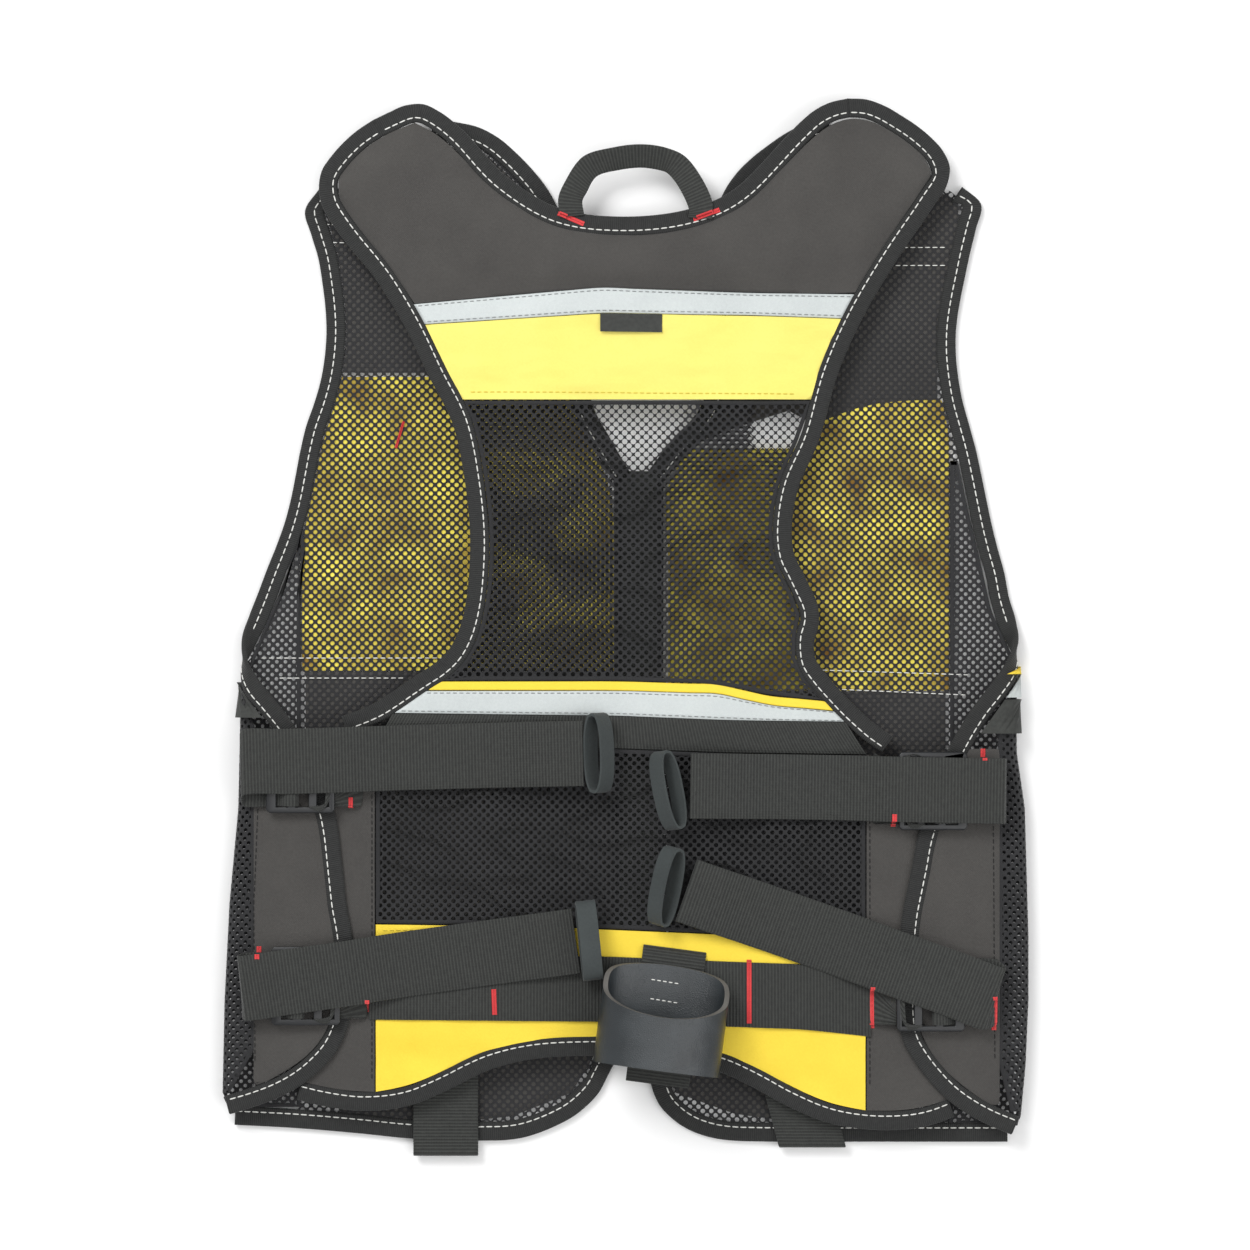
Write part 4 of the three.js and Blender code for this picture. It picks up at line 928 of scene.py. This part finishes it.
leather = cloth("leather_tool_loop", "leather", 3, 0.0)
leather.data.materials.append(FINISHES["leather_edge"])
LOOP_TURN = math.radians(7.5)
axis = Vector((math.sin(LOOP_TURN), math.cos(LOOP_TURN), 0))
for face in leather.data.polygons:
    if abs(face.normal.dot(axis)) > 0.72:
        face.material_index = 1

# Stitches
def surface(names):
    """Chosen pieces as one surface to lay threads on."""
    points, faces = [], []
    for name in names:
        mesh = bpy.data.objects[f"{name}_look"].data
        base = len(points)
        points += [v.co.copy() for v in mesh.vertices]
        faces += [[base + i for i in p.vertices] for p in mesh.polygons]
    return BVHTree.FromPolygons(points, faces)


def built():
    names = [o.name[:-5] for o in bpy.context.scene.objects if o.name.endswith("_look")]
    return [name for name in names if "mesh" not in name and "gusset" not in name]


def top_at(tree, x, y):
    hit = tree.ray_cast(Vector((x, y, 1)), Vector((0, 0, -1)))
    if hit[0] is None:
        return None, np.array((0, 0, 1.0))
    normal = hit[1] if hit[1].z > 0 else -hit[1]
    return hit[0].z, np.array(normal)


def dashes_above(node, pitch, dash):
    """Stitch places along the middle of a ribbon, on the face that is seen from above."""
    tree = surface([node])
    line = STRIPS[node][0]
    along = np.concatenate([[0], np.cumsum(np.linalg.norm(np.diff(line, axis=0), axis=1))])
    result = []
    for start in np.arange(2 * MM, along[-1] - dash * MM, pitch * MM):
        ends = []
        for d in (0, dash * MM):
            x, y = (np.interp(start + d, along, line[:, k]) for k in range(2))
            z, out = top_at(tree, x, y)
            if z is not None and z < FRONT_LEVEL + 3.5 * MM:
                ends.append(np.array((x, y, z)))
        if len(ends) == 2 and abs(ends[0][2] - ends[1][2]) < 2 * MM:
            result.append((ends[0], ends[1], out))
    return result


BINDING_PITCH = 5.0
BINDING_STITCH = 3.9
SEAM_PITCH = 4.0
SEAM_STITCH = 2.7
SIDE_STITCH = 2.8
LINING_PITCH = 4.6
LINING_STITCH = 3.2
LOOP_PITCH = 3.6
LOOP_STITCH = 2.4

white = []
for node in TAPES:
    white += dashes_on(node, 3.0, BINDING_PITCH, BINDING_STITCH, inner=False)
for hand in ("left", "right"):
    white += dashes_above(f"front_armhole_tape_{hand}", BINDING_PITCH, BINDING_STITCH)
threads("binding_stitches", white, 0.42 * MM, "thread")
grey = []
for node in ("upper_reflective_strip", "waist_reflective_strip"):
    for inner in (True, False):
        grey += dashes_on(node, 1.6, 4.0, 2.6, inner=inner)
threads("reflective_stitches", grey, 0.3 * MM, "grey_thread")


def laid(points, pitch, dash, onto, lift=0.1):
    """Stitches along a line of photo pixels, on a height or on chosen pieces from above."""
    tree = None if isinstance(onto, float) else surface(onto)
    line = np.array([photo(*p) for p in points])
    along = np.concatenate([[0], np.cumsum(np.linalg.norm(np.diff(line, axis=0), axis=1))])
    result = []
    start = 0.0
    while start + dash * MM <= along[-1]:
        ends = []
        for d in (0, dash * MM):
            x, y = (np.interp(start + d, along, line[:, k]) for k in range(2))
            z, out = (onto, np.array((0, 0, 1.0))) if tree is None else top_at(tree, x, y)
            if z is not None:
                ends.append(np.array((x, y, z + lift * MM)))
        if len(ends) == 2 and abs(ends[0][2] - ends[1][2]) < 1.2 * MM:
            result.append((ends[0], ends[1], out))
        start += pitch * MM
    return result


def tack(a, b, height=None, wide=3.0, pitch=0.75):
    """Zigzag bar tack between two photo pixels."""
    (ax, ay), (bx, by) = photo(*a), photo(*b)
    along = np.array((bx - ax, by - ay))
    length = np.linalg.norm(along)
    along /= length
    side = np.array((-along[1], along[0]))
    result = []
    count = int(length / (pitch * MM))
    for index in range(count):
        for hand in (-1, 1):
            start = np.array((ax, ay)) + along * (index * pitch * MM) - side * hand * wide * MM / 2
            end = np.array((ax, ay)) + along * ((index + 0.5) * pitch * MM) + side * hand * wide * MM / 2
            places = []
            z, out = top_at(EVERYTHING, *((start + end) / 2))
            z = height or z
            if z is None:
                continue
            for spot in (start, end):
                places.append(np.array((spot[0], spot[1], z + 0.12 * MM)))
            result.append((places[0], places[1], out))
    return result


TACKS = [
    ((495, 986), (496, 1012)), ((748, 957), (748, 1020)), ((870, 983), (870, 1026)),
    ((990, 992), (991, 1028)), ((353, 796), (353, 808)), ((370, 996), (370, 1010)),
    ((891, 812), (891, 826)), ((980, 748), (980, 760)), ((559, 217), (585, 228)),
    ((693, 223), (720, 213)), ((262, 944), (262, 956)),
]
EVERYTHING = surface(built())
red = []
for a, b in TACKS:
    red += tack(a, b)
red += tack((404, 422), (396, 449), 3.7 * MM, 1.6)
threads("bar_tacks", red, 0.3 * MM, "red_thread")

LOWER_SEAM = [(385, 928), (500, 926), (640, 926), (740, 932), (865, 936)]
UPPER_SEAM = [(472, 394), (560, 394), (650, 395), (795, 396)]
yellow_seams = laid(LOWER_SEAM, SEAM_PITCH, SEAM_STITCH, ["lower_yellow_band"])
yellow_seams += laid(UPPER_SEAM, SEAM_PITCH, SEAM_STITCH, ["upper_yellow_band"])
threads("band_stitches", yellow_seams, 0.3 * MM, "yellow_thread")
SIDE_SEAMS = {
    "back_side_strip_left": [(374, 735), (374, 1080)],
    "back_side_strip_right": [(868, 760), (868, 1085)],
    "wrap_strip_left": [(264, 730), (257, 900), (258, 1060)],
    "wrap_strip_right": [(990, 760), (992, 1060)],
}
dark_seams = []
for node, points in SIDE_SEAMS.items():
    dark_seams += laid(points, SEAM_PITCH, SIDE_STITCH, [node])
threads("side_stitches", dark_seams, 0.3 * MM, "dark_thread")
LINING = 3.4 * MM
LINING_SEAMS = [
    [(325, 225), (372, 226)], [(325, 243), (378, 244)], [(880, 248), (945, 248)],
    [(880, 266), (946, 266)], [(262, 658), (449, 658)], [(280, 678), (406, 678)],
    [(822, 670), (975, 675)], [(834, 689), (968, 695)],
]
lining_seams = []
for points in LINING_SEAMS:
    lining_seams += laid(points, LINING_PITCH, LINING_STITCH, LINING)
threads("lining_stitches", lining_seams, 0.34 * MM, "thread")
loop_seams = laid([(651, 975), (682, 980)], LOOP_PITCH, LOOP_STITCH, ["leather_tool_loop"])
loop_seams += laid([(650, 994), (681, 999)], LOOP_PITCH, LOOP_STITCH, ["leather_tool_loop"])
threads("loop_stitches", loop_seams, 0.4 * MM, "thread")

# Floor, light and camera
FLOOR_HALF = 3
FLOOR_LEVEL = -0.6 * MM


def stage_floor():
    mesh = bpy.data.meshes.new("floor")
    corners = [(x * FLOOR_HALF, y * FLOOR_HALF, FLOOR_LEVEL) for x, y in ((-1, -1), (1, -1), (1, 1), (-1, 1))]
    mesh.from_pydata(corners, [], [(0, 1, 2, 3)])
    material = bpy.data.materials.new("Pale floor")
    material.use_nodes = True
    shader = material.node_tree.nodes["Principled BSDF"]
    shader.inputs["Base Color"].default_value = (0.93, 0.93, 0.93, 1)
    shader.inputs["Roughness"].default_value = 0.9
    mesh.materials.append(material)
    floor = bpy.data.objects.new("floor", mesh)
    bpy.context.scene.collection.objects.link(floor)
    return floor


def lamp(name, place, size, power):
    data = bpy.data.lights.new(name, "AREA")
    data.size = size
    data.energy = power
    obj = bpy.data.objects.new(name, data)
    obj.location = place
    obj.rotation_euler = (-Vector(place)).to_track_quat("-Z", "Y").to_euler()
    bpy.context.scene.collection.objects.link(obj)
    return obj


floor = stage_floor()
lamps = [
    lamp("key", (-1.0, 1.3, 2.0), 1.0, 38),
    lamp("fill", (1.4, -0.6, 1.8), 1.6, 16),
    lamp("top", (0, 0, 2.6), 2.2, 22),
]
world = bpy.data.worlds.new("studio")
world.use_nodes = True
world.node_tree.nodes["Background"].inputs["Color"].default_value = (1, 1, 1, 1)
world.node_tree.nodes["Background"].inputs["Strength"].default_value = 0.42
bpy.context.scene.world = world

CAMERA_HEIGHT = 2.3
VIEW_WIDTH = 0.775
camera_data = bpy.data.cameras.new("camera")
camera_data.sensor_width = 36
camera_data.lens = camera_data.sensor_width * CAMERA_HEIGHT / VIEW_WIDTH
camera = bpy.data.objects.new("camera", camera_data)
camera.location = (-0.0003, 0.0028, CAMERA_HEIGHT)
bpy.context.scene.collection.objects.link(camera)
bpy.context.scene.camera = camera
bpy.context.scene.view_settings.view_transform = "Standard"

# Cut sizes of the cloth: each sheet with what it lies on
FRONTS = ["front_mesh_left", "front_mesh_right"]
SHEETS = {"back_mesh_upper": FRONTS, "back_mesh_lower": FRONTS, "upper_yellow_band": FRONTS,
          "lower_yellow_band": FRONTS}
for hand in ("left", "right"):
    front = f"front_mesh_{hand}"
    below = [f"front_{part}_{hand}" for part in ("shoulder", "chest", "pocket")]
    SHEETS |= {name: [] for name in below}
    SHEETS |= {front: below, f"side_gusset_{hand}": [front], f"back_side_strip_{hand}": [front],
               f"wrap_strip_{hand}": [f"back_side_strip_{hand}"]}
for node, lower in SHEETS.items():
    width, length, area = CUTS[node]
    area = float(min(max(area, 0.301 * width * length), width * length))
